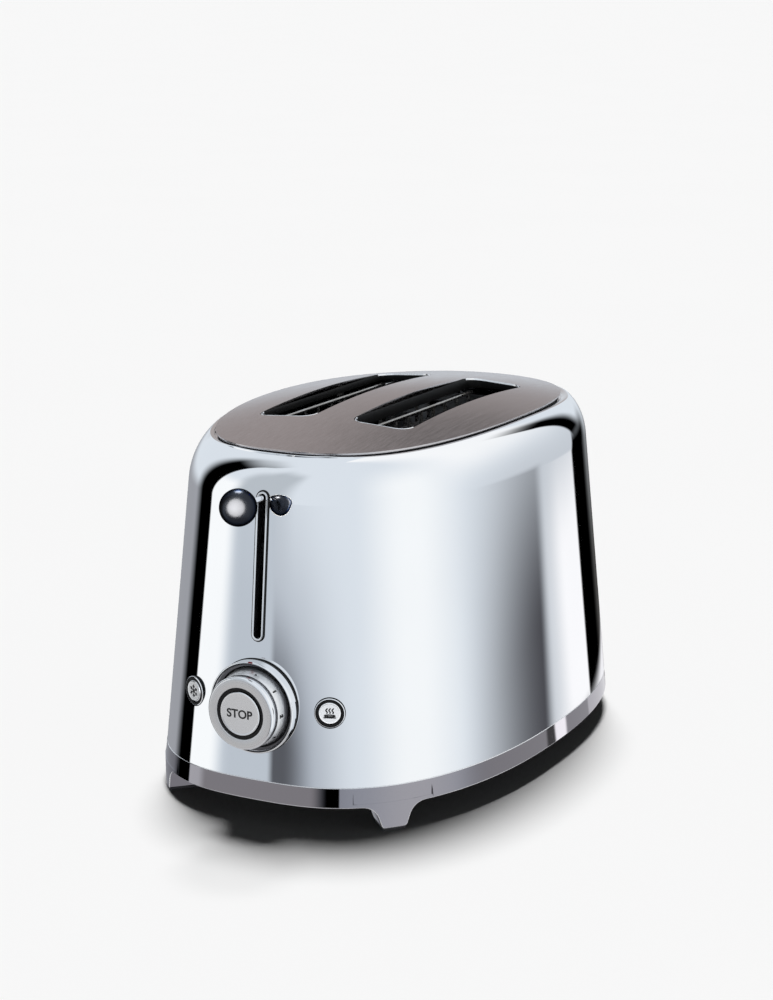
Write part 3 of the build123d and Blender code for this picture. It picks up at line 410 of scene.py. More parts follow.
def piece_from(bm, name, body=None, slot=None, *nodes):
    """Object of a finished mesh that rides on a body and stands for some nodes."""
    mesh = bpy.data.meshes.new(name)
    bm.to_mesh(mesh)
    bm.free()
    piece = linked(name, mesh)
    if body:
        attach(piece, body)
    if nodes:
        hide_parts(*nodes)
    return piece


def wrapped_grid(columns, rows, place, close_rows=False):
    """Grid bent round into a closed band, whose places come from a column and a row."""
    bm = bmesh.new()
    bmesh.ops.create_grid(bm, x_segments=columns, y_segments=rows, size=1)
    for vert in bm.verts:
        column = round((vert.co.x + 1) / 2 * columns) % columns
        row = round((vert.co.y + 1) / 2 * rows)
        vert.co = place(column, row % rows if close_rows else row)
    weld(bm)
    bmesh.ops.dissolve_degenerate(bm, edges=bm.edges, dist=TOUCH)
    face_outwards(bm)
    return bm


def turned(profile, matrix, steps, closed=False):
    """Lathe form from points of radius and height, set on its axis by a matrix."""
    bm = bmesh.new()
    verts = [bm.verts.new((point[0], 0, point[1])) for point in profile]
    edges = [bm.edges.new(pair) for pair in zip(verts, verts[1:])]
    if closed:
        edges.append(bm.edges.new((verts[-1], verts[0])))
    bmesh.ops.spin(
        bm, geom=verts + edges, cent=(0, 0, 0), axis=(0, 0, 1), angle=math.tau, steps=steps, use_merge=True
    )
    weld(bm)
    face_outwards(bm)
    bm.transform(matrix)
    return bm


def lathed(names, profile, matrix, steps, finishes, angle=35.0, closed=False, finish_at=None):
    """Lathe piece, whose faces a test may give other finishes by their radius, height and place."""
    bm = turned(profile, matrix, steps, closed)
    place = matrix.inverted()
    for face in bm.faces if finish_at else ():
        world = face.calc_center_median()
        middle = place @ world
        face.material_index = finish_at(math.hypot(middle.x, middle.y), middle.z, world)
    return smooth(paint(piece_from(bm, *names), *finishes), angle)


def outward_matrix(origin, outward):
    """Frame whose Z points outwards and whose Y points up."""
    right = UP.cross(outward).normalized()
    matrix = Matrix((right, outward.cross(right), outward)).transposed().to_4x4()
    matrix.translation = origin
    return matrix


def settle(piece):
    """Applies a piece's modifiers to its mesh."""
    mesh = shown_mesh(piece)
    mesh.name = piece.name
    piece.modifiers.clear()
    piece.data = mesh
    return piece


def cut(piece, cutters):
    """Cuts openings in a piece and removes the cutters."""
    for cutter in cutters:
        opening = piece.modifiers.new("opening", "BOOLEAN")
        with_settings(opening, operation="DIFFERENCE", solver="EXACT", object=cutter)
    settle(piece)
    for cutter in cutters:
        bpy.data.objects.remove(cutter)
    return piece


def prism(name, outline, matrix, near, far):
    """Cutter: a flat outline pushed from near to far along its frame's Z."""
    bm = bmesh.new()
    face = bm.faces.new([bm.verts.new((point[0], point[1], near)) for point in outline])
    grown = bmesh.ops.extrude_face_region(bm, geom=[face])["geom"]
    tops = [item for item in grown if isinstance(item, bmesh.types.BMVert)]
    bmesh.ops.translate(bm, verts=tops, vec=(0, 0, far - near))
    face_outwards(bm)
    bm.transform(matrix)
    return piece_from(bm, name)


def arc(middle, radius, start, sweep, count):
    """Points of an arc about a middle, both of its ends among them."""
    turns = [start + sweep * step / count for step in range(count + 1)]
    return vectors(*((middle[0] + radius * math.cos(turn), middle[1] + radius * math.sin(turn)) for turn in turns))


def circle(radius, count=96):
    """Points of a circle."""
    return arc((0, 0), radius, 0.0, math.tau, count)[:-1]


def stadium(width, low, high, count=24):
    """Points of an upright slot with round ends, anticlockwise."""
    radius = width / 2
    return (arc((0, high - radius), radius, 0.0, math.pi, count)
            + arc((0, low + radius), radius, math.pi, math.pi, count))


def rounded_rectangle(length_x, length_y, corner, count=8):
    """Points of a rectangle with round corners, anticlockwise."""
    points = []
    for quarter, (side_x, side_y) in enumerate(((1, 1), (-1, 1), (-1, -1), (1, -1))):
        middle = side_x * (length_x / 2 - corner), side_y * (length_y / 2 - corner)
        points += arc(middle, corner, math.pi / 2 * quarter, math.pi / 2, count)
    return points


def smooth(piece, angle=30.0):
    """Smooth shading with crisp edges where faces meet at more than an angle."""
    piece.data.shade_smooth()
    piece.data.set_sharp_from_angle(angle=math.radians(angle))
    return piece


def true_normals(piece, surface_normal, limit=0.985, angle=30.0, always=None):
    """Gives the faces on a formed surface, and those named by a test, that surface's own normals."""
    smooth(piece, angle)
    mesh = piece.data
    found = {}
    normals = [Vector(corner.vector) for corner in mesh.corner_normals]
    for face in mesh.polygons:
        named = always and always(face)
        for corner in face.loop_indices:
            index = mesh.loops[corner].vertex_index
            if index not in found:
                found[index] = surface_normal(mesh.vertices[index].co)
            normal = found[index]
            if normal and (named or abs(face.normal.dot(normal)) > limit):
                normals[corner] = normal if named or face.normal.dot(normal) > 0 else -normal
    mesh.normals_split_custom_set(normals)
    return piece


def merged_copy(name, cad_node, body, slot, edge_round, plain=None):
    """A node's own shape as one joined mesh, with its edges cut back, except in the band between two heights."""

    def in_band(edge):
        low, high = sorted(vert.co.z for vert in edge.verts)
        return low > plain[0] and (high < plain[1] or high - low > edge.calc_length() / 2)

    bm = bmesh.new()
    bm.from_mesh(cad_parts[cad_node].data)
    weld(bm)
    bmesh.ops.dissolve_limit(bm, angle_limit=math.radians(0.3), verts=bm.verts, edges=bm.edges)
    corners = [edge for edge in bm.edges if edge.calc_face_angle(0) > math.radians(40)
               and not (plain and in_band(edge))]
    # the cut edges take the piece's second finish; on the ring that is a painted highlight
    bmesh.ops.bevel(bm, geom=corners, offset=edge_round, segments=1, profile=0.5, affect="EDGES", material=1)
    weld(bm)
    bmesh.ops.dissolve_degenerate(bm, edges=bm.edges, dist=TOUCH)
    bmesh.ops.triangulate(bm, faces=bm.faces)
    return piece_from(bm, name, body, slot, cad_node)


def paint(piece, *finishes):
    """Gives a piece its finishes, by name or ready made, in the order that its faces know."""
    if piece.data.materials:
        piece.data.materials.clear()
    for item in finishes:
        piece.data.materials.append(named_finish(item) if isinstance(item, str) else item)
    return piece


def line_art(name, strokes, matrix, body):
    """Flat drawing of round-ended strokes."""
    curve = with_settings(bpy.data.curves.new(name, "CURVE"), dimensions="3D", bevel_depth=SIGN_STROKE / 2,
                          bevel_resolution=2, use_fill_caps=True)
    for points, closed in strokes:
        spline = curve.splines.new("NURBS" if len(points) > 2 else "POLY")
        spline.points.add(len(points) - 1)
        for control, point in zip(spline.points, points):
            control.co = (point[0], point[1], 0, 1)
        if len(points) > 2:
            spline.order_u = 3
            spline.use_endpoint_u = not closed
        spline.use_cyclic_u = closed
    return drawn(name, curve, Matrix.Diagonal((1, 1, 0.35, 1)), matrix, body)


def drawn(name, curve, shape, matrix, body):
    """Turns a curve or a text into an inked piece with its place in its mesh."""
    source = linked(name + ".source", curve)
    mesh = shown_mesh(source)
    bpy.data.objects.remove(source)
    bpy.data.curves.remove(curve)
    bm = bmesh.new()
    bm.from_mesh(mesh)
    bpy.data.meshes.remove(mesh)
    bm.transform(matrix @ shape)
    weld(bm)
    face_outwards(bm)
    return smooth(paint(piece_from(bm, name, body, "black_plastic"), "print_ink"))


def lettering(name, words, matrix, body, wide=None, high=None, weight=0.0, stand=0.05 * MM):
    """Raised word or number, fitted to a width or a height about its middle."""
    text = with_settings(bpy.data.curves.new(name, "FONT"), body=words, size=1.0, offset=weight, extrude=0.5,
                         align_x="CENTER")
    probe = linked(name + ".probe", text)
    bpy.context.view_layer.update()
    corners = vectors(*probe.bound_box)
    bpy.data.objects.remove(probe)
    low = Vector(map(min, zip(*corners)))
    top = Vector(map(max, zip(*corners)))
    scale = wide / (top.x - low.x) if wide else high / (top.y - low.y)
    middle = (low + top) / 2
    shape = Matrix.Diagonal((scale, scale, stand, 1)) @ Matrix.Translation((-middle.x, -middle.y, 0))
    return drawn(name, text, shape, matrix, body)


# Finishes

MADE = {}


def node(tree, kind, inputs=(), **settings):
    """New shader node with its settings, whose inputs take values or the outputs of other nodes."""
    made = with_settings(tree.nodes.new("ShaderNode" + kind), **settings)
    for name, value in dict(inputs).items():
        if isinstance(value, bpy.types.NodeSocket):
            tree.links.new(value, made.inputs[name])
        else:
            made.inputs[name].default_value = value
    return made


def finish(name, base, metallic, roughness, **sockets):
    """New material with a principled shader, and its node tree."""
    if name in MADE:
        return MADE[name], None, None
    material = MADE[name] = bpy.data.materials.new(name)
    material.use_nodes = True
    shader = material.node_tree.nodes["Principled BSDF"]
    values = {"Base_Color": (*base, 1), "Metallic": metallic, "Roughness": roughness, **sockets}
    for socket, value in values.items():
        shader.inputs[socket.replace("_", " ")].default_value = value
    return material, material.node_tree, shader


def own_place(tree):
    """The object's own coordinates."""
    return node(tree, "TexCoord").outputs["Object"]


def noise(tree, scale, detail=3.0, stretch=(1, 1, 1), roughness=0.5):
    """Noise stretched along the object's axes, as a value and a height."""
    place = node(tree, "Mapping", {"Vector": own_place(tree), "Scale": stretch}).outputs["Vector"]
    values = {"Vector": place, "Scale": scale, "Detail": detail, "Roughness": roughness}
    texture = node(tree, "TexNoise", values)
    return texture.outputs["Fac"], texture.outputs["Fac"]


def cells(tree, scale):
    """Cells of different tones, as a value and a height."""
    texture = node(tree, "TexVoronoi", {"Vector": own_place(tree), "Scale": scale})
    return texture.outputs["Color"], texture.outputs["Distance"]


def windings(tree, scale, distortion):
    """Turns of wire one over the other, as a value and a height."""
    values = {"Vector": own_place(tree), "Scale": scale, "Distortion": distortion}
    texture = node(tree, "TexWave", values, bands_direction="Z")
    return texture.outputs["Fac"], texture.outputs["Fac"]


def rings(tree, centre, axis_scale, scale=9000):
    """Fine turning rings round a centre, as a value and a height."""
    shift = [-part * size for part, size in zip(centre, axis_scale)]
    place = node(tree, "Mapping", {"Vector": own_place(tree), "Location": shift, "Scale": axis_scale})
    distance = node(tree, "VectorMath", {0: place.outputs["Vector"]}, operation="LENGTH")
    values = {"W": distance.outputs["Value"], "Scale": scale, "Detail": 3}
    texture = node(tree, "TexNoise", values, noise_dimensions="1D")
    return texture.outputs["Fac"], texture.outputs["Fac"]


def spread(tree, value, low, high):
    """Maps a texture's middle range to two limits."""
    limits = {"From Min": 0.3, "From Max": 0.7, "To Min": low, "To Max": high}
    return node(tree, "MapRange", {"Value": value, **limits}).outputs["Result"]


def tone(tree, shader, value, *shades):
    """Base colour that wanders between a dark and a light tone."""
    ramp = node(tree, "ValToRGB", {"Fac": value})
    for element, position, shade in zip(ramp.color_ramp.elements, (0.35, 0.65), shades):
        element.position = position
        element.color = (*shade, 1)
    tree.links.new(ramp.outputs["Color"], shader.inputs["Base Color"])


def relief(tree, shader, value, depth, strength):
    """Bump of a real depth in metres."""
    bump = node(tree, "Bump", {"Height": value, "Distance": depth, "Strength": strength})
    tree.links.new(bump.outputs["Normal"], shader.inputs["Normal"])


def scaled(base, factor):
    """A lighter or darker shade of a colour."""
    return tuple(min(1.0, channel * factor) for channel in base)


def scene_colour(name):
    """One of the scene's colours of the finishes, as plain numbers."""
    return tuple(getattr(forms().toaster_finishes, name))


def patterned(name, base, metallic, roughness, texture, limits, tones, drift=None, bump=None, sockets=None):
    """Finish whose roughness, tone and relief follow a texture, or its tone a drift of its own."""
    base = scene_colour(base) if isinstance(base, str) else base
    material, tree, shader = finish(name, base, metallic, roughness, **(sockets or {}))
    if tree:
        make_texture, *settings = texture
        value, height = make_texture(tree, *settings)
        if limits:
            tree.links.new(spread(tree, value, *limits), shader.inputs["Roughness"])
        shades = [scaled(base, item) if isinstance(item, float) else item for item in tones]
        tone(tree, shader, noise(tree, *drift)[0] if drift else value, *shades)
        if bump:
            relief(tree, shader, height, bump[0] * MM, bump[1])
    return material


def turned_satin(name, shade, centre, axis_scale, roughness=0.28):
    """Satin metal in a shade of the dial's colour, with fine turning rings round an axis; a shade above one is a
    lighter copy that stands in for light.
    """
    return patterned(name, scaled(scene_colour("dial"), shade), 1.0, roughness, (rings, centre, axis_scale),
                     (0.8 * roughness, 1.2 * roughness), (0.92, 1.06), None, (0.004, 0.5))


def board_lacquer():
    """Green lacquer of the control board with faint tracks."""
    material, tree, shader = finish("board_lacquer", (0.01, 0.1, 0.04), 0.0, 0.3, Coat_Weight=0.4)
    if tree:
        place = node(tree, "Mapping", {"Vector": own_place(tree), "Rotation": (0, math.pi / 2, 0)})
        tracks = node(tree, "TexBrick", {
            "Vector": place.outputs["Vector"], "Scale": 120, "Mortar Size": 0.03,
            "Color1": (0.008, 0.085, 0.035, 1), "Color2": (0.012, 0.11, 0.045, 1), "Mortar": (0.03, 0.2, 0.08, 1),
        })
        tree.links.new(tracks.outputs["Color"], shader.inputs["Base Color"])
        relief(tree, shader, tracks.outputs["Fac"], 0.02 * MM, 0.4)
    return material


# Each finish: its base, as a colour or the name of one of the scene's, metallic and roughness; the
# texture that it follows; the limits of its roughness; its dark and light tone, as colours or as
# shares of the base; the drift of its tone; its relief's depth in mm and strength; and other sockets
RUBBER = (0.0, 0.75, (noise, 1800, 4), (0.65, 0.85), (0.85, 1.2), (200,), (0.03, 0.4))
FINISHES = {
    "polished_chrome": ("chrome", 1.0, 0.03, (noise, 28, 4), (0.012, 0.045), (0.97, 1.0), (9,)),
    # chrome ball darkened as painted shade, for its dark reflections
    "dark_polish": ("smoked", 1.0, 0.26, (noise, 180, 4), (0.24, 0.28), (0.9, 1.1), (60,), None,
                    {"Specular_Tint": (0.1, 0.12, 0.16, 1)}),
    # dark metal painted into the bezel's scoop as shade
    "shaded_scoop": ((0.12, 0.12, 0.13), 1.0, 0.12, (noise, 1200), (0.09, 0.15), (0.95, 1.05)),
    "brushed_panel": ("panel", 1.0, 0.22, (noise, 900, 5, (0.03, 1, 1), 0.65), (0.17, 0.27), (0.93, 1.05),
                      None, (0.006, 0.5), {"Anisotropic": 0.3}),
    "grey_ring": ("ring", 1.0, 0.03, (noise, 2400), (0.02, 0.035), (0.98, 1.02)),
    "moulded_black": ("black", 0.0, 0.32, (noise, 2600, 2), (0.24, 0.4), (0.8, 1.3), (120,), (0.01, 0.3),
                      {"Specular_IOR_Level": 0.2}),
    "stove_enamel": ((0.004, 0.004, 0.004), 0.0, 0.5, (noise, 1400), (0.32, 0.5),
                     ((0.003, 0.003, 0.003), (0.007, 0.0065, 0.006)), (90,), (0.02, 0.35),
                     {"Specular_IOR_Level": 0.15}),
    # light metal of the liners' bare lips, brightened as a painted highlight, and of painted highlights on the
    # ring's top and edges
    "edge_metal": ((0.94, 0.94, 0.95), 1.0, 0.3, (noise, 1500, 3, (0.1, 1, 1)), (0.22, 0.36),
                   ((0.88, 0.88, 0.89), (0.98, 0.98, 0.99))),
    "joint_rubber": ((0.012, 0.012, 0.013), *RUBBER),
    "foot_rubber": ((0.12, 0.12, 0.13), *RUBBER),
    "zinc_sheet": ("sheet", 1.0, 0.5, (cells, 160), (0.4, 0.62), (0.88, 1.06)),
    "drawn_wire": ((0.5, 0.49, 0.47), 1.0, 0.28, (noise, 600), (0.2, 0.38),
                   ((0.4, 0.38, 0.35), (0.55, 0.54, 0.53)), (70,)),
    # mica and heating ribbon are darkened towards black as painted shade inside the slots
    "mica_board": ((0.01, 0.0085, 0.007), 0.0, 0.45, (cells, 420), (0.3, 0.6),
                   ((0.006, 0.005, 0.004), (0.013, 0.011, 0.009)), None, (0.02, 0.4)),
    "heating_ribbon": ((0.035, 0.032, 0.03), 1.0, 0.55, (noise, 900), (0.45, 0.65),
                       ((0.025, 0.023, 0.025), (0.05, 0.04, 0.033)), (130,)),
    "wound_copper": ((0.6, 0.27, 0.12), 1.0, 0.3, (windings, 320, 0.6), None,
                     ((0.4, 0.16, 0.06), (0.72, 0.34, 0.16)), None, (0.15, 0.8)),
    "spring_brass": ((0.72, 0.52, 0.24), 1.0, 0.32, (noise, 260, 4), (0.25, 0.42),
                     ((0.55, 0.38, 0.18), (0.78, 0.58, 0.28))),
    "print_ink": ("ink", 0.0, 0.4, (noise, 3000), (0.32, 0.5), (1.0, 1.8), (500,)),
    "pointer_paint": ("pointer", 0.0, 0.35, (noise, 2000), (0.22, 0.4), (0.8, 1.2), (700,)),
}


def named_finish(name):
    """One of the finishes of the table."""
    return patterned(name, *FINISHES[name])


def each_side(name):
    """The four nodes of a name on the outer and inner sides of the slots."""
    return [f"{name}_{slot}_{side}" for slot in ("left", "right") for side in ("outer", "inner")]


NODE_FINISHES = {
    "zinc_sheet": ("base_plate", "chassis_floor", "front_bulkhead", "rear_bulkhead", "side_reflector_left",
                   "side_reflector_right", "centre_divider", "crumb_tray", "tray_rails", "carriage",
                   "rod_bracket", "bread_carrier_left", "bread_carrier_right", "keeper", "magnet_core"),
    "drawn_wire": (*each_side("bread_guide"), "guide_rod", "tie_posts", "board_posts", "base_screws"),
    "mica_board": each_side("heater_board"),
    "heating_ribbon": each_side("heater_ribbon"),
    "moulded_black": ("contact_block", "terminal_block", "cord_gland", "dial_encoder", "push_switches",
                      "board_parts"),
    "wound_copper": ("magnet_coil",),
    "spring_brass": ("contact_leaves",),
    "polished_chrome": ("lever_arm",),
}


# Pieces


class TOASTER_OT_shell(bpy.types.Operator):
    """Make the polished shell with its openings"""

    bl_idname = "toaster.shell"
    bl_label = "Polished shell"

    columns = 360
    wall_rows = 30
    shoulder_rows = 22
    round_steps = 4

    def shoulder_point(self, turn, direction):
        """Point of the shoulder after a part of its turn."""
        shell = forms().toaster_shell
        return shell_point(shell.shoulder_start + shell.shoulder_height * math.sin(turn), direction)

    def corner_turn(self, direction):
        """How far the shoulder turns before it meets the rim, or the joint round the panel."""
        panel = forms().toaster_panel
        edge = panel_point(panel.joint, direction)
        edge_reach = (edge - Vector((BODY_X, 0, 0))).length
        low, high = 0.2, 1.5
        for _ in range(30):
            turn = (low + high) / 2
            point = self.shoulder_point(turn, direction)
            over = point.z > crown_height(point, panel.stand)
            if over or math.hypot(point.x - BODY_X, point.y) < edge_reach:
                high = turn
            else:
                low = turn
        return low

    def meridian(self, direction):
        """Points up one side of the shell, over its rim and down to the panel's seat."""
        shell, panel = forms().toaster_shell, forms().toaster_panel
        points = []
        for row in range(self.wall_rows):
            rise = row / self.wall_rows
            points.append(shell_point(RING_TOP + rise * (shell.shoulder_start - RING_TOP), direction))
        last = self.corner_turn(direction)
        for row in range(self.shoulder_rows + 1):
            points.append(self.shoulder_point(last * row / self.shoulder_rows, direction))
        corner = points.pop()
        edge = panel_point(panel.joint, direction)
        edge.z = min(crown_height(edge, panel.stand), corner.z)
        foot = panel_point(panel.joint, direction)
        foot.z = crown_height(foot, panel.seat_drop)
        ledge = panel_point(-panel.seat_width, direction)
        ledge.z = crown_height(ledge, panel.seat_drop)
        rim = rounded([points[-1], corner, edge], shell.rim_round, self.round_steps)
        lip = rounded([rim[-2], edge, foot], shell.edge_round, self.round_steps)
        return points + rim[1:-1] + lip[1:-1] + [foot, ledge]

    def execute(self, context):
        shell, lever, button = (context.scene.toaster_shell, context.scene.toaster_lever,
                                context.scene.toaster_buttons)
        sides = [self.meridian(math.tau * column / self.columns) for column in range(self.columns)]
        bm = wrapped_grid(self.columns, len(sides[0]) - 1, lambda column, row: sides[column][row])
        piece = piece_from(bm, "polished_shell", "housing", "mirror_chrome", "body_shell")
        sheet = piece.modifiers.new("sheet", "SOLIDIFY")
        with_settings(sheet, thickness=shell.sheet, offset=-1, use_even_offset=True)
        front = outward_matrix(Vector((BODY_X, 0, 0)), FRONT)
        trim_margin = (lever.trim_width - lever.slit_width) / 2 - lever.hole_margin
        slit = stadium(lever.slit_width + 2 * lever.hole_margin, TRIM_LOW.z + trim_margin,
                       TRIM_HIGH.z - trim_margin)
        dial_radius = (BEZEL_HIGH.z - BEZEL_LOW.z) / 2 - context.scene.toaster_dial.bezel_flange
        reach = SHELL_HIGH.x - BODY_X
        cutters = [prism("slit", slit, front, 0, 2 * reach),
                   prism("dial_hole", circle(dial_radius + button.seat_gap), dial_matrix(BODY_X), 0, 2 * reach)]
        for side in (-1, 1):
            cutters.append(prism("button_hole", circle(button.ring_radius + button.seat_gap, 64),
                                 button_matrix(side), -20 * MM, 20 * MM))
        rear = outward_matrix(Vector((BODY_X, 0, 0)), Vector((1, 0, 0)))
        play = shell.tray_play
        half, low, high = TRAY_HIGH.y + play, TRAY_LOW.z - play, TRAY_HIGH.z + play
        window = vectors((-half, low), (half, low), (half, high), (-half, high))
        cutters.append(prism("tray_window", window, rear, 0, 2 * reach))
        cut(piece, cutters)
        paint(true_normals(piece, shell_normal), "polished_chrome")
        return {"FINISHED"}


class TOASTER_OT_panel(bpy.types.Operator):
    """Make the crowned panel and the liners of its slots"""

    bl_idname = "toaster.panel"
    bl_label = "Crowned panel"

    columns = 240
    rows = 26

    def slot_places(self):
        """Middle of each bread slot."""
        for name in ("left", "right"):
            low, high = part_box(f"slot_liner_{name}")
            yield name, Vector(((low.x + high.x) / 2, (low.y + high.y) / 2, 0))

    def make_panel(self, form):
        """The crowned sheet with two slots."""

        def place(column, row):
            edge = panel_point(0, math.tau * column / self.columns)
            point = Vector((PANEL_X, 0, 0)).lerp(edge, row / self.rows)
            point.z = crown_height(point)
            return point

        bm = wrapped_grid(self.columns, self.rows, place)
        piece = piece_from(bm, "crown_panel", "housing", "satin_panel", "top_panel")
        if sum(face.normal.z for face in piece.data.polygons) < 0:
            piece.data.flip_normals()
        with_settings(piece.modifiers.new("sheet", "SOLIDIFY"), thickness=form.sheet, offset=-1)
        cutters = []
        for name, middle in self.slot_places():
            outline = rounded_rectangle(form.slot_length, form.slot_width, form.slot_corner)
            cutters.append(prism(f"slot_{name}", outline, Matrix.Translation(middle), 0.15, 0.25))
        cut(piece, cutters)
        with_settings(piece.modifiers.new("edges", "BEVEL"), width=form.edge_round, segments=3,
                      limit_method="ANGLE", angle_limit=math.radians(50))
        settle(piece)
        paint(true_normals(piece, crown_normal, 0.995), "brushed_panel")

    def make_liner(self, form, name, middle):
        """A liner with a rolled edge in light bare metal, brightened as a painted highlight round the slot, a flange
        under the panel and an enamelled inside.
        """
        gap, wall, flange = form.liner_gap, form.liner_wall, form.liner_flange
        bottom = CROWN_TOP - form.liner_depth
        under = -form.sheet - gap / 2
        corners = (
            (wall, None, bottom), (wall, -wall, 0), (wall / 2, 0.1 * MM, 0), (0, -wall / 2, 0), (0, under, 0),
            (-flange - gap, under, 0), (-flange - gap, under - wall, 0), (0, under - wall, 0), (0, None, bottom),
        )
        outlines = []
        for inset, _, _ in corners:
            trim = 2 * (gap + inset)
            outlines.append(rounded_rectangle(form.slot_length - trim, form.slot_width - trim,
                                              form.slot_corner - gap - inset))

        def place(column, row):
            flat = outlines[row][column]
            point = middle + Vector((flat.x, flat.y, 0))
            drop = corners[row][1]
            point.z = corners[row][2] if drop is None else crown_height(point) + drop
            return point

        bm = wrapped_grid(len(outlines[0]), len(corners), place, close_rows=True)
        # the lip above the crown takes the light edge metal, partly bare metal and partly a painted highlight
        for face in bm.faces:
            middle_point = face.calc_center_median()
            if middle_point.z > crown_height(middle_point) - 0.75 * wall:
                face.material_index = 1
        piece = piece_from(bm, f"liner_{name}", "housing", "black_enamel", f"slot_liner_{name}")
        smooth(paint(piece, "stove_enamel", "edge_metal"), 40)

    def execute(self, context):
        form = context.scene.toaster_panel
        self.make_panel(form)
        for name, middle in self.slot_places():
            self.make_liner(form, name, middle)
        paint(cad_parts["panel_gasket"], "joint_rubber")
        return {"FINISHED"}


class TOASTER_OT_base(bpy.types.Operator):
    """Make the base ring with its feet, and the pads"""

    bl_idname = "toaster.base"
    bl_label = "Base ring"

    # Rounding of the ring's edges; how far its plain band ends under the plate and under the ring's
    # top; and how much of the ring's top takes the light edge metal, a painted highlight line
    edge_round = 0.45 * MM
    past_plate, past_top, top_band = 1.6 * MM, 0.6 * MM, 0.5 * MM

    def execute(self, context):
        low, high = PLATE_LOW.z - self.past_plate, RING_TOP - self.past_top
        ring = merged_copy("ring_and_feet", "base_ring", "housing", "satin_ring", self.edge_round, (low, high))

        def on_band(face):
            outside = oval_measure(face.center, *plan_size(RING_TOP), plan_bulges(RING_TOP)) > 1
            return low < face.center.z < high and outside

        for face in ring.data.polygons:
            # the ring's top and cut edges take the light edge metal as a painted highlight; its band stays plain
            if face.normal.z > 0.5 and face.center.z > RING_TOP - self.top_band:
                face.material_index = 1
            elif on_band(face):
                face.material_index = 0

        paint(true_normals(ring, ring_normal, 0.8, always=on_band), "grey_ring", "edge_metal")
        paint(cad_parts["foot_pads"], "foot_rubber")
        return {"FINISHED"}


class TOASTER_OT_lever(bpy.types.Operator):
    """Make the trim round the slit, the ball knob and the return spring"""

    bl_idname = "toaster.lever"
    bl_label = "Lever and slit"

    # Shares of the trim's width between which it is bright chrome, the rest painted black as shadow at its foot and
    # shade at its slit edge; the ball's socket for its stem, by its largest radius and as a share of the ball's
    # radius
    bright_from, bright_to = 0.14, 0.62
    stem_limit, socket_depth = 1.6 * MM, 0.7

    def make_trim(self, form):
        """Raised trim that follows the wall round the slit."""
        margin = (form.trim_width - form.slit_width) / 2
        stand = form.trim_stand
        section = rounded(vectors(
            (0, -form.trim_depth), (0, stand * 0.55), (margin * 0.2, stand), (margin * 0.6, stand),
            (margin * 0.76, stand * 0.35), (margin, stand * 0.3), (margin, 0.15 * MM),
            (margin * 0.5, 0.15 * MM), (margin * 0.5, -form.trim_depth),
        ), 0.2 * MM, 3, closed=True)
        low, high = TRIM_LOW.z, TRIM_HIGH.z
        runs = []
        for point in section:
            grown = margin - point[0]
            runs.append(stadium(form.trim_width - 2 * grown, low + grown, high - grown, 20))

        def place(column, row):
            across, height = runs[row][column]
            return Vector((wall_x(across, height, section[row][1]), -across, height))

        bm = wrapped_grid(len(runs[0]), len(section), place, close_rows=True)
        for face in bm.faces:
            middle = face.calc_center_median()
            turn = form.trim_width / 2
            past = max(0, middle.z - high + turn, low + turn - middle.z)
            reach = (math.hypot(middle.y, past) - form.slit_width / 2) / margin
            # outside the bright share the trim is painted black: a painted shadow line at its foot and shade at the
            # slit
            if not self.bright_from <= reach <= self.bright_to:
                face.material_index = 1
        piece = piece_from(bm, "slit_trim", "housing", "mirror_chrome", "slot_trim")
        smooth(paint(piece, "polished_chrome", "moulded_black"), 50)

    def make_ball(self):
        """Ball knob with a small collar where the stem goes in."""
        radius = (BALL_HIGH.z - BALL_LOW.z) / 2
        arm_low, arm_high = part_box("lever_arm")
        stem = min((arm_high.z - arm_low.z) / 2, self.stem_limit)
        start = math.asin(stem / radius)
        floor = -radius * self.socket_depth
        profile = [(0, floor), (stem, floor), (stem, -radius * math.cos(start) + 0.2 * MM)]
        profile += arc((0, 0), radius, start - math.pi / 2, math.pi - start, 48)
        # the ball takes the darkened chrome, a painted shade
        lathed(("ball_knob", "lever", "mirror_chrome", "lever_knob"), profile,
               outward_matrix((BALL_LOW + BALL_HIGH) / 2, FRONT), 96, ("dark_polish",), 40)

    def make_spring(self, form):
        """Coiled return spring, made at one length with a mesh of its own."""
        low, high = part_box("return_spring")
        wire = form.spring_wire / 2
        radius = (high.x - low.x) / 2 - wire
        centre = Vector(((low.x + high.x) / 2, (low.y + high.y) / 2, low.z + wire))
        steps = 24
        bm = bmesh.new()
        ring = bmesh.ops.create_circle(bm, cap_ends=False, radius=wire, segments=10)["verts"]
        bmesh.ops.rotate(bm, verts=ring, matrix=Matrix.Rotation(math.pi / 2, 3, "X"))
        bmesh.ops.translate(bm, verts=ring, vec=(radius, 0, 0))
        rise = high.z - low.z - 2 * wire
        count = steps * form.spring_turns
        bmesh.ops.spin(bm, geom=bm.verts[:] + bm.edges[:], cent=(0, 0, 0), axis=(0, 0, 1),
                       dvec=(0, 0, rise / count), angle=math.tau * form.spring_turns, steps=count)
        bmesh.ops.holes_fill(bm, edges=[edge for edge in bm.edges if edge.is_boundary])
        face_outwards(bm)
        bm.transform(Matrix.Translation(centre))
        piece = piece_from(bm, "coil_spring", "housing", "bright_wire", "return_spring")
        smooth(paint(piece, "drawn_wire"), 50)
        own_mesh(piece)

    def execute(self, context):
        form = context.scene.toaster_lever
        self.make_trim(form)
        self.make_ball()
        self.make_spring(form)
        return {"FINISHED"}


def dial_matrix(x):
    """Frame on the dial's axis at one place along it, with Z towards the lever end."""
    return outward_matrix(Vector((x, 0, (BEZEL_LOW.z + BEZEL_HIGH.z) / 2)), FRONT)


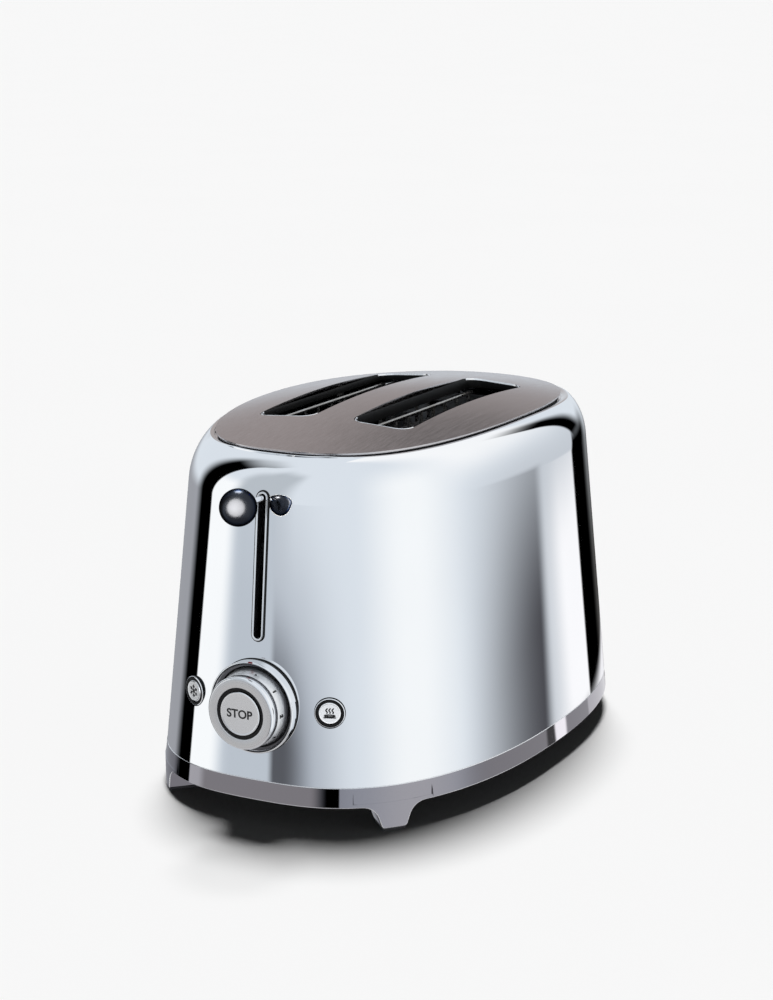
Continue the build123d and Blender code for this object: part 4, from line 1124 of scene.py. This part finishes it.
class TOASTER_OT_dial(bpy.types.Operator):
    """Make the browning dial: bezel, numbered knob, insert and stop button"""

    bl_idname = "toaster.dial"
    bl_label = "Browning dial"

    # Shares of the scoop's width between which it is painted dark as shade
    dark_from, dark_to = 0.08, 0.74

    def make_bezel(self, form):
        """Fixed bezel with a scooped front."""
        outer = (BEZEL_HIGH.z - BEZEL_LOW.z) / 2 - form.bezel_flange
        bore = form.bore + 0.05 * MM
        crest = outer - form.bezel_round
        back = -(BEZEL_HIGH.x - BEZEL_LOW.x)
        flange_front = -(form.bezel_seat + form.bezel_body)
        profile = rounded(vectors(
            (outer + form.bezel_flange, flange_front), (outer + form.bezel_flange, back), (bore, back),
            (bore, -form.bezel_seat), (form.bezel_inner, -form.bezel_seat), (form.bezel_inner, -form.bezel_scoop),
        ), 0.15 * MM, 2)
        start, end = vectors((form.bezel_inner, -form.bezel_scoop), (crest, 0))
        across = Vector((end.y - start.y, start.x - end.x)).normalized()
        for step in range(1, 10):
            part = step / 10
            profile.append(start.lerp(end, part) - across * (-4 * SCOOP_SAG * part * (1 - part)))
        profile += arc((crest, -form.bezel_round), form.bezel_round, math.pi / 2, -math.pi / 2, 8)
        for row in range(1, 13):
            profile.append(Vector((outer, -form.bezel_round + (flange_front + form.bezel_round) * row / 12)))

        def finish_at(radius, height, place):
            if height < -form.bezel_scoop - 0.1 * MM and radius < form.bezel_inner + 0.1 * MM:
                return 1
            # black foot over the wall: a painted shadow
            if radius > outer - 0.1 * MM and wall_x(place.y, place.z) - place.x < form.bezel_shadow:
                return 1
            part = (radius - form.bezel_inner) / (crest - form.bezel_inner)
            in_scoop = height > -form.bezel_scoop - 0.6 * MM
            # the middle of the scoop takes the dark metal, a painted shade
            return 2 if self.dark_from < part < self.dark_to and in_scoop else 0

        lathed(("scooped_bezel", "housing", "mirror_chrome", "dial_bezel"), profile, dial_matrix(BEZEL_LOW.x),
               160, ("polished_chrome", "moulded_black", "shaded_scoop"), closed=True, finish_at=finish_at)

    def make_knob(self, form):
        """Turning knob: satin face, polished band, groove painted black inside as shade, and conical satin rim."""
        back = -(KNOB_HIGH.x - KNOB_LOW.x)
        rim_back = (KNOB_HIGH.z - KNOB_LOW.z) / 2
        band_end = -form.band
        groove_end = band_end - form.groove
        outline = rounded(vectors(
            (form.bore, back), (form.bore, 0), (form.knob_radius - form.knob_round, 0),
        ), 0.25 * MM, 3)
        outline += arc((form.knob_radius - form.knob_round, -form.knob_round), form.knob_round, math.pi / 2,
                       -math.pi / 2, 8)[1:]
        outline += rounded(vectors(
            (form.knob_radius, band_end / 2), (form.knob_radius, band_end),
            (form.knob_radius - form.groove, band_end), (form.knob_radius - form.groove, groove_end),
            (form.rim_radius, groove_end), (rim_back, back), (form.bore, back),
        ), 0.2 * MM, 2)[:-1]

        def finish_at(radius, height, _):
            # the groove's floor is painted black as shade in the groove
            if groove_end < height < band_end - 0.05 * MM and radius < form.knob_radius - form.groove / 2:
                return 2
            if height < groove_end - 0.1 * MM:
                return 3
            polished = height < -0.15 * MM and radius > form.knob_radius - form.knob_round
            return 1 if polished and height > band_end - 0.05 * MM else 0

        matrix = dial_matrix(KNOB_LOW.x)
        satin = turned_satin("dial_satin", 1.0, matrix.translation, (0, 1, 1))
        # the rim's satin is a lighter copy of the face's, brightened as painted light
        rim = turned_satin("rim_satin", 1.22, matrix.translation, (1, 0, 0), 0.38)
        lathed(("numbered_knob", "dial", "mirror_chrome", "dial_knob"), outline, matrix, 160,
               (satin, "polished_chrome", "moulded_black", rim), closed=True, finish_at=finish_at)
        return groove_end, rim_back, back

    def make_numbers(self, form, rim_start, rim_back, back):
        """Dot and numbers round the conical rim, read from over the knob."""
        slope = math.atan2(rim_back - form.rim_radius, rim_start - back)
        show_end = -(BEZEL_LOW.x - KNOB_LOW.x)
        middle = (rim_start + show_end) / 2 - 0.1 * MM
        radius = form.rim_radius + (rim_start - middle) * math.tan(slope)
        axis = dial_matrix(KNOB_LOW.x)
        for index in range(form.digit_count + 1):
            turn = math.radians(-form.first_mark - form.digit_step * index)
            spin = Matrix.Rotation(turn, 4, "Z")
            radial = Vector((0, 1, 0))
            normal = (radial * math.cos(slope) + UP * math.sin(slope)).normalized()
            upward = -UP * math.cos(slope) + radial * math.sin(slope)
            seat = Matrix((upward.cross(normal), upward, normal)).transposed().to_4x4()
            seat.translation = Vector((0, radius + 0.03 * MM, middle))
            matrix = axis @ spin @ seat
            if index:
                lettering(f"dial_number_{index}", str(index), matrix, "dial", high=form.digit_height, weight=0.1)
            else:
                dot = [(0, 0.05 * MM), (0.55 * MM, 0.05 * MM), (0.6 * MM, 0), (0.6 * MM, -0.05 * MM),
                       (0, -0.05 * MM)]
                lathed(("dial_dot", "dial", "black_plastic"), dot, matrix, 24, ("print_ink",), 40)

    def make_pointer(self, form):
        """Red pointer laid over the bezel's lip and into its scoop, at its top."""
        lift = 0.1 * MM
        crest = (BEZEL_HIGH.z - BEZEL_LOW.z) / 2 - form.bezel_flange - form.bezel_round
        start, end = vectors((0, form.bezel_inner, -form.bezel_scoop), (0, crest, 0))
        run = end - start
        normal = Vector((1, 0, 0)).cross(run).normalized()
        places = []
        for part, half in ((0.35, 0.4), (0.6, 0.8), (0.85, 1.1)):
            sag = 4 * SCOOP_SAG * part * (1 - part)
            places.append((start + run * part - normal * (sag - lift), half * MM))
        for turn, half in ((80, 1.25), (58, 1.3), (36, 1.2), (14, 0.9)):
            out = Vector((0, math.cos(math.radians(turn)), math.sin(math.radians(turn))))
            places.append((end - Vector((0, 0, form.bezel_round)) + out * (form.bezel_round + lift), half * MM))
        bm = bmesh.new()
        corners = []
        for place, half in places:
            for side in (-half, half):
                corners.append(bm.verts.new(place + Vector((side, 0, 0))))
        for index in range(0, len(corners) - 2, 2):
            bm.faces.new((corners[index], corners[index + 1], corners[index + 3], corners[index + 2]))
        face_outwards(bm)
        bmesh.ops.solidify(bm, geom=bm.faces[:], thickness=0.12 * MM)
        face_outwards(bm)
        bm.transform(dial_matrix(BEZEL_LOW.x))
        smooth(paint(piece_from(bm, "red_pointer", "housing", "black_plastic"), "pointer_paint"), 40)

    def make_insert(self, form):
        """Black tube between the knob and the stop button."""
        outer = (INSERT_HIGH.z - INSERT_LOW.z) / 2
        inner = outer - form.insert_wall
        back = -(INSERT_HIGH.x - INSERT_LOW.x)
        profile = rounded(vectors((outer, back), (inner, back), (inner, 0), (outer, 0)), 0.35 * MM, 4, closed=True)
        lathed(("black_insert", "dial", "black_plastic", "dial_insert"), profile, dial_matrix(INSERT_LOW.x), 128,
               ("moulded_black",), 40, closed=True)

    def make_stop(self, form):
        """Satin stop button with its word."""
        radius = (STOP_HIGH.z - STOP_LOW.z) / 2
        back = -(STOP_HIGH.x - STOP_LOW.x)
        profile = rounded(vectors(
            (0, back), (form.stop_rod, back), (form.stop_rod, -form.stop_cap), (radius, -form.stop_cap),
            (radius, -0.35 * MM), (radius - 0.35 * MM, 0), (radius - 0.8 * MM, -0.05 * MM),
            (radius - 1.0 * MM, -0.1 * MM), (0, -0.06 * MM),
        ), 0.12 * MM, 2)
        matrix = dial_matrix(STOP_LOW.x)
        # the stop button's satin is a lighter copy of the dial's, brightened as painted light
        satin = turned_satin("stop_satin", 1.15, matrix.translation, (0, 1, 1))
        lathed(("stop_cap", "stop_key", "satin_button", "stop_button"), profile, matrix, 128,
               (satin, "polished_chrome"),
               finish_at=lambda reach, height, _: int(height > -0.6 * MM and reach > radius - 0.85 * MM))
        lettering("stop_word", "STOP", matrix, "stop_key", wide=form.stop_width, weight=0.022, stand=0.06 * MM)

    def execute(self, context):
        form = context.scene.toaster_dial
        self.make_bezel(form)
        self.make_numbers(form, *self.make_knob(form))
        self.make_pointer(form)
        self.make_insert(form)
        self.make_stop(form)
        return {"FINISHED"}


def button_matrix(side):
    """Frame on a small button's axis where it leaves the wall."""
    form = forms().toaster_buttons
    turn = math.radians(form.turn)
    outward = Vector((-math.cos(turn), side * math.sin(turn), 0))
    across = side * form.offset
    return outward_matrix(Vector((wall_x(across, form.height), across, form.height)), outward)


class TOASTER_OT_buttons(bpy.types.Operator):
    """Make the two small push buttons with their rings and signs"""

    bl_idname = "toaster.buttons"
    bl_label = "Push buttons"

    def make_button(self, form, side, name):
        """One button and its ring."""
        matrix = button_matrix(side)
        stand = form.stand
        profile = rounded(vectors(
            (0, -form.depth), (form.radius, -form.depth), (form.radius, stand - 0.3 * MM),
            (form.radius - 0.3 * MM, stand), (form.radius - 0.7 * MM, stand - 0.05 * MM),
            (0, stand - 0.05 * MM),
        ), 0.1 * MM, 2)
        # the caps' satin is a lighter copy of the dial's, brightened as painted light
        satin = turned_satin(f"{name}_satin", 1.2, matrix.translation, (1, 1, 1), 0.5)
        lathed((f"{name}_cap", f"{name}_key", "satin_button", f"{name}_button"), profile, matrix, 96,
               (satin, "polished_chrome"),
               finish_at=lambda reach, height, _: int(height > 0 and reach > form.radius - 0.6 * MM))

        outer, inner = form.ring_radius, form.radius + form.play
        flange = outer + form.ring_flange
        profile = rounded(vectors(
            (inner, -form.ring_depth), (flange, -form.ring_depth), (flange, 1 * MM - form.ring_depth),
            (outer, 1 * MM - form.ring_depth), (outer, form.ring_stand - 0.2 * MM),
            (outer - 0.25 * MM, form.ring_stand), (inner + 0.2 * MM, form.ring_stand),
            (inner, form.ring_stand - 0.2 * MM),
        ), 0.12 * MM, 2, closed=True)
        # the ring's outer lip is chrome: a painted highlight along the black ring's edge
        lathed((f"{name}_collar", "housing", "black_plastic", f"{name}_ring"), profile, matrix, 96,
               ("moulded_black", "polished_chrome"), closed=True,
               finish_at=lambda reach, height, _: int(height > 0 and reach > outer - 0.4 * MM))
        return matrix @ Matrix.Translation((0, 0, stand - 0.02 * MM))

    def make_flake(self, matrix):
        """Six-armed frost sign."""
        strokes = []
        arm, branch = 3.3 * MM, 1.1 * MM
        for step in range(6):
            turn = math.pi / 3 * step
            out = Vector((math.sin(turn), math.cos(turn)))
            strokes.append(([Vector((0, 0)), out * arm], False))
            for lean in (-1, 1):
                way = Vector((math.sin(turn + lean * 0.8), math.cos(turn + lean * 0.8)))
                strokes.append(([out * arm * 0.55, out * arm * 0.55 + way * branch], False))
        line_art("frost_sign", strokes, matrix, "defrost_key")

    def make_heat(self, matrix):
        """Three waves of heat over a slice on a tray."""
        strokes = []
        for middle in (-1.5, 0.0, 1.5):
            run = [Vector((middle + 0.45 * math.sin(math.pi * step / 2), -0.1 + 0.55 * step)) * MM
                   for step in range(6)]
            strokes.append((run, False))
        slice_run = [Vector(point) * MM for point in ((-2.9, -1.5), (-2.2, -0.85), (0, -0.75), (2.2, -0.85),
                                                      (2.9, -1.5), (0, -1.6))]
        strokes.append((slice_run, True))
        strokes.append(([Vector((-3.1, -2.2)) * MM, Vector((3.1, -2.2)) * MM], False))
        line_art("heat_sign", strokes, matrix, "reheat_key")

    def execute(self, context):
        form = context.scene.toaster_buttons
        self.make_flake(self.make_button(form, 1, "defrost"))
        self.make_heat(self.make_button(form, -1, "reheat"))
        return {"FINISHED"}


class TOASTER_OT_inside(bpy.types.Operator):
    """Give the tray's front and every inner node its finish"""

    bl_idname = "toaster.inside"
    bl_label = "Tray and inside"

    def execute(self, context):
        front = merged_copy("tray_face", "tray_front", "tray", "mirror_chrome", 0.25 * MM)
        paint(true_normals(front, shell_normal, 0.97), "polished_chrome", "polished_chrome")
        for name, nodes in NODE_FINISHES.items():
            for inner_node in nodes:
                paint(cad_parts[inner_node], name)
        paint(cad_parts["control_board"], board_lacquer())
        return {"FINISHED"}


# Studio


class TOASTER_OT_stage(bpy.types.Operator):
    """Set up the pale floor, the soft light and the camera"""

    bl_idname = "toaster.stage"
    bl_label = "Studio"

    # Angles of the window in degrees, and the tint of the lamps on the ball
    floor_radius = 45.0
    window_angle, window_lean, window_turn = 19, 18, 117
    warm = (1.0, 0.89, 0.72)

    def make_camera(self, studio):
        """Camera at the photographed angle."""
        azimuth, elevation = math.radians(studio.azimuth), math.radians(studio.elevation)
        back = Vector((math.sin(azimuth) * math.cos(elevation), -math.cos(azimuth) * math.cos(elevation),
                       math.sin(elevation)))
        data = with_settings(bpy.data.cameras.new("camera"), lens=studio.lens, shift_x=studio.shift_x,
                             shift_y=studio.shift_y, clip_start=0.05, clip_end=200.0)
        camera = linked("camera", data)
        camera.location = Vector((BODY_X, 0, studio.aim_height)) + back * studio.distance
        camera.rotation_euler = (-back).to_track_quat("-Z", "Y").to_euler()
        bpy.context.scene.camera = camera

    def make_floor(self, studio):
        """Wide pale floor."""
        bm = bmesh.new()
        bmesh.ops.create_circle(bm, cap_ends=True, radius=self.floor_radius, segments=64)
        floor = piece_from(bm, "floor")
        material, tree, shader = finish("floor_paper", studio.floor, 0.0, 0.9, Specular_IOR_Level=0.0)
        tone(tree, shader, noise(tree, 3)[0], studio.floor, scaled(studio.floor, 1.004))
        paint(floor, material)
        floor.visible_glossy = False

    def make_light(self, studio):
        """Soft light from over the far side, which draws a gentle shadow towards the camera."""
        data = with_settings(bpy.data.lights.new("window", "SUN"), energy=studio.sun,
                             angle=math.radians(self.window_angle))
        light = linked("window", data)
        light.rotation_euler = (math.radians(self.window_lean), 0, math.radians(self.window_turn))
        light.visible_glossy = False

    def make_lamp(self, name, toward, distance, radius, watts, pieces, beam=180, tint=(1, 1, 1)):
        """Small round softbox that shines on a few pieces alone."""
        data = with_settings(bpy.data.lights.new(name, "AREA"), shape="DISK", size=2 * radius, energy=watts,
                             color=tint, spread=math.radians(beam))
        lamp = linked(name, data)
        lamp.location = (BALL_LOW + BALL_HIGH) / 2 + toward.normalized() * distance
        lamp.rotation_euler = toward.to_track_quat("Z", "Y").to_euler()
        lamp.visible_camera = False
        lit = bpy.data.collections.new(name + ".lit")
        for piece in pieces:
            lit.objects.link(bpy.data.objects[piece])
        lamp.light_linking.receiver_collection = lit

    def execute(self, context):
        studio = context.scene.toaster_studio
        self.make_camera(studio)
        self.make_floor(studio)
        self.make_light(studio)
        self.make_lamp("ball_softbox", Vector((-0.95, -0.27, 0.19)), 0.5, 0.7, 84.0, ("ball_knob",), 150,
                       self.warm)
        self.make_lamp("ball_strip", Vector((0.5, 0.27, 0.82)), 0.5, 0.1, 6.0, ("ball_knob",), 180, self.warm)
        self.make_lamp("button_softbox", Vector((-0.95, -0.31, -0.05)), 0.6, 0.3, 0.9,
                       ("defrost_cap", "reheat_cap"))
        make_world(studio)
        context.scene.view_settings.view_transform = "Standard"
        return {"FINISHED"}


# Each card of the studio: where it starts and ends round the toaster, where it starts and ends
# in height, each with the softness of that edge, how far it leans round for each degree of
# height (all in degrees), and its brightness
CARDS = (
    ("bright_side", -27, 46, 20, 36, -60, 10, 45, 50, 0, (0.96, 0.985, 1.0)),
    ("right_top_bright", 22, 40, 74, 8, 15, 36, 95, 1, 0, (0.97, 0.985, 1.0)),
    ("left_upper_grey", -138, 12, -110, 16, -3, 10, 56, 14, 0, (0.50, 0.545, 0.59)),
    ("left_shade_broad", -118, 4, -72, 56, -60, 1, -4.0, 9, 0, (0.42, 0.46, 0.52)),
    ("left_shade_deep", -121, 5, -98, 26, -60, 1, -6.6, 4, 0, (0.10, 0.105, 0.12)),
    ("left_warm_grey", -134, 16, -116, 3, -60, 1, -2, 8, 0, (0.52, 0.57, 0.63)),
    ("right_upper_shade", 40, 40, 84, 3, -60, 1, 6, 30, 0, (0.58, 0.62, 0.67)),
    ("right_shade", 44, 42, 62.5, 4, -60, 1, -8.3, 8, 0, (0.06, 0.06, 0.07)),
    ("right_white", 66, 9, 83, 2, -60, 1, -9.2, 3.5, 0, (1.0, 1.0, 1.02)),
    ("rear_low_grey", 120, 30, 176, 16, -60, 1, -3, 14, 0, (0.34, 0.35, 0.38)),
    ("right_far_grey", 88, 8, 122, 30, -60, 1, -8, 12, 0, (0.07, 0.068, 0.066)),
    ("far_brown", 102, 12, 136, 12, 6, 10, 60, 40, 0, (0.40, 0.365, 0.36)),
    ("far_dark", 106, 8, 118, 12, 20, 12, 38, 20, 0, (0.17, 0.16, 0.16)),
    ("right_black", 80, 1.5, 97, 11, -60, 1, -2, 8, 0, (0.0, 0.0, 0.0)),
    ("shoulder_line", 79.5, 1.5, 88.5, 7, -4, 6, 26, 18, -0.67, (0.0, 0.0, 0.0)),
    ("left_white", -166.5, 1.5, -137, 14, -60, 1, 26, 16, 0, (1.0, 1.02, 1.03)),
    ("left_black", 172, 15, -163, 2, -60, 1, 56, 20, 0.22, (0.0, 0.0, 0.0)),
    ("table_left", -150, 10, -82, 12, -60, 1, -12.5, 1, 0, (0.56, 0.555, 0.56)),
    ("table_black", -84, 16, -65, 1.5, -60, 1, -12, 1, 0, (0.0, 0.0, 0.0)),
    ("table_right", 30, 24, 62.5, 2, -60, 1, -14.9, 0.4, 0, (0.53, 0.53, 0.54)),
    ("table_far", 62, 2, 79, 1, -60, 1, -15.0, 0.4, 0, (0.54, 0.54, 0.56)),
    ("table_end", 78.5, 1, 110, 20, -60, 1, -15.3, 0.8, 0, (0.9, 0.9, 0.93)),
    ("table_line", 61.4, 1, 64, 0.6, -60, 1, -15.0, 0.4, 0, (0.12, 0.12, 0.12)),
    ("table_glint", 64, 0.6, 67, 1, -60, 1, -15.0, 0.4, 0, (2.2, 2.2, 2.2)),
    ("underside", 118.1, 0.1, 117.9, 0.1, -90, 1, -46, 14, 0, (0.50, 0.50, 0.52)),
)
BASE_LIGHT = (0.735, 0.79, 0.85)


def make_world(studio):
    """Studio walls: pale all round, with the cards that the polished shell mirrors."""
    world = bpy.data.worlds.new("studio")
    bpy.context.scene.world = world
    world.use_nodes = True
    tree = world.node_tree
    tree.nodes.clear()

    def result(operation, *values):
        return node(tree, "Math", dict(enumerate(values)), operation=operation).outputs[0]

    def edge(value, middle, softness, rising):
        limits = {"From Min": middle - softness / 2, "From Max": middle + softness / 2,
                  "To Min": 0 if rising else 1, "To Max": 1 if rising else 0}
        return node(tree, "MapRange", {"Value": value, **limits}, interpolation_type="SMOOTHSTEP").outputs["Result"]

    def mixed(factor, under, over):
        return node(tree, "Mix", {"Factor": factor, "A": under, "B": (*over, 1)}, data_type="RGBA").outputs["Result"]

    parts = node(tree, "SeparateXYZ", {0: node(tree, "TexCoord").outputs["Generated"]}).outputs
    azimuth = result("DEGREES", result("ARCTAN2", parts["X"], result("MULTIPLY", parts["Y"], -1.0)))
    elevation = result("DEGREES", result("ARCSINE", parts["Z"]))
    light = (*BASE_LIGHT, 1)
    for _, start, start_soft, end, end_soft, low, low_soft, high, high_soft, lean, shade in CARDS:
        width = (end - start) % 360
        leaned = result("ADD", start + width / 2, result("MULTIPLY", elevation, float(lean)))
        turn = result("WRAP", result("SUBTRACT", azimuth, leaned), 180.0, -180.0)
        mask = edge(turn, -width / 2, start_soft, True)
        for side in (edge(turn, width / 2, end_soft, False), edge(elevation, low, low_soft, True),
                     edge(elevation, high, high_soft, False)):
            mask = result("MULTIPLY", mask, side)
        light = mixed(mask, light, shade)
    path = node(tree, "LightPath").outputs
    light = mixed(result("MINIMUM", path["Diffuse Depth"], 1.0), light, studio.fill)
    light = mixed(path["Is Camera Ray"], light, studio.backdrop)
    background = node(tree, "Background", {"Color": light, "Strength": studio.light})
    node(tree, "OutputWorld", {"Surface": background.outputs["Background"]})


class TOASTER_PT_panel(bpy.types.Panel):
    """Lists the toaster's pieces in the sidebar"""

    bl_label = "Toaster"
    bl_idname = "TOASTER_PT_panel"
    bl_space_type = "VIEW_3D"
    bl_region_type = "UI"
    bl_category = "Toaster"

    def draw(self, context):
        for operator in PIECES:
            self.layout.operator(operator.bl_idname)
        for name, _ in SETTINGS:
            settings = getattr(context.scene, name)
            box = self.layout.box()
            for key in settings.bl_rna.properties.keys():
                if key not in ("rna_type", "name"):
                    box.prop(settings, key)


SETTINGS = (
    ("toaster_shell", ShellForm),
    ("toaster_panel", PanelForm),
    ("toaster_lever", LeverForm),
    ("toaster_dial", DialForm),
    ("toaster_buttons", ButtonForm),
    ("toaster_finishes", Finishes),
    ("toaster_studio", Studio),
)
PIECES = (
    TOASTER_OT_shell,
    TOASTER_OT_panel,
    TOASTER_OT_base,
    TOASTER_OT_lever,
    TOASTER_OT_dial,
    TOASTER_OT_buttons,
    TOASTER_OT_inside,
    TOASTER_OT_stage,
)
CLASSES = tuple(kind for _, kind in SETTINGS) + PIECES + (TOASTER_PT_panel,)


def register():
    for kind in CLASSES:
        bpy.utils.register_class(kind)
    for name, kind in SETTINGS:
        setattr(bpy.types.Scene, name, PointerProperty(type=kind))


def unregister():
    for name, _ in SETTINGS:
        delattr(bpy.types.Scene, name)
    for kind in reversed(CLASSES):
        bpy.utils.unregister_class(kind)


def main():
    """Makes every piece in order."""
    register()
    for operator in PIECES:
        _, name = operator.bl_idname.split(".")
        getattr(bpy.ops.toaster, name)()


if __name__ == "__main__":
    main()
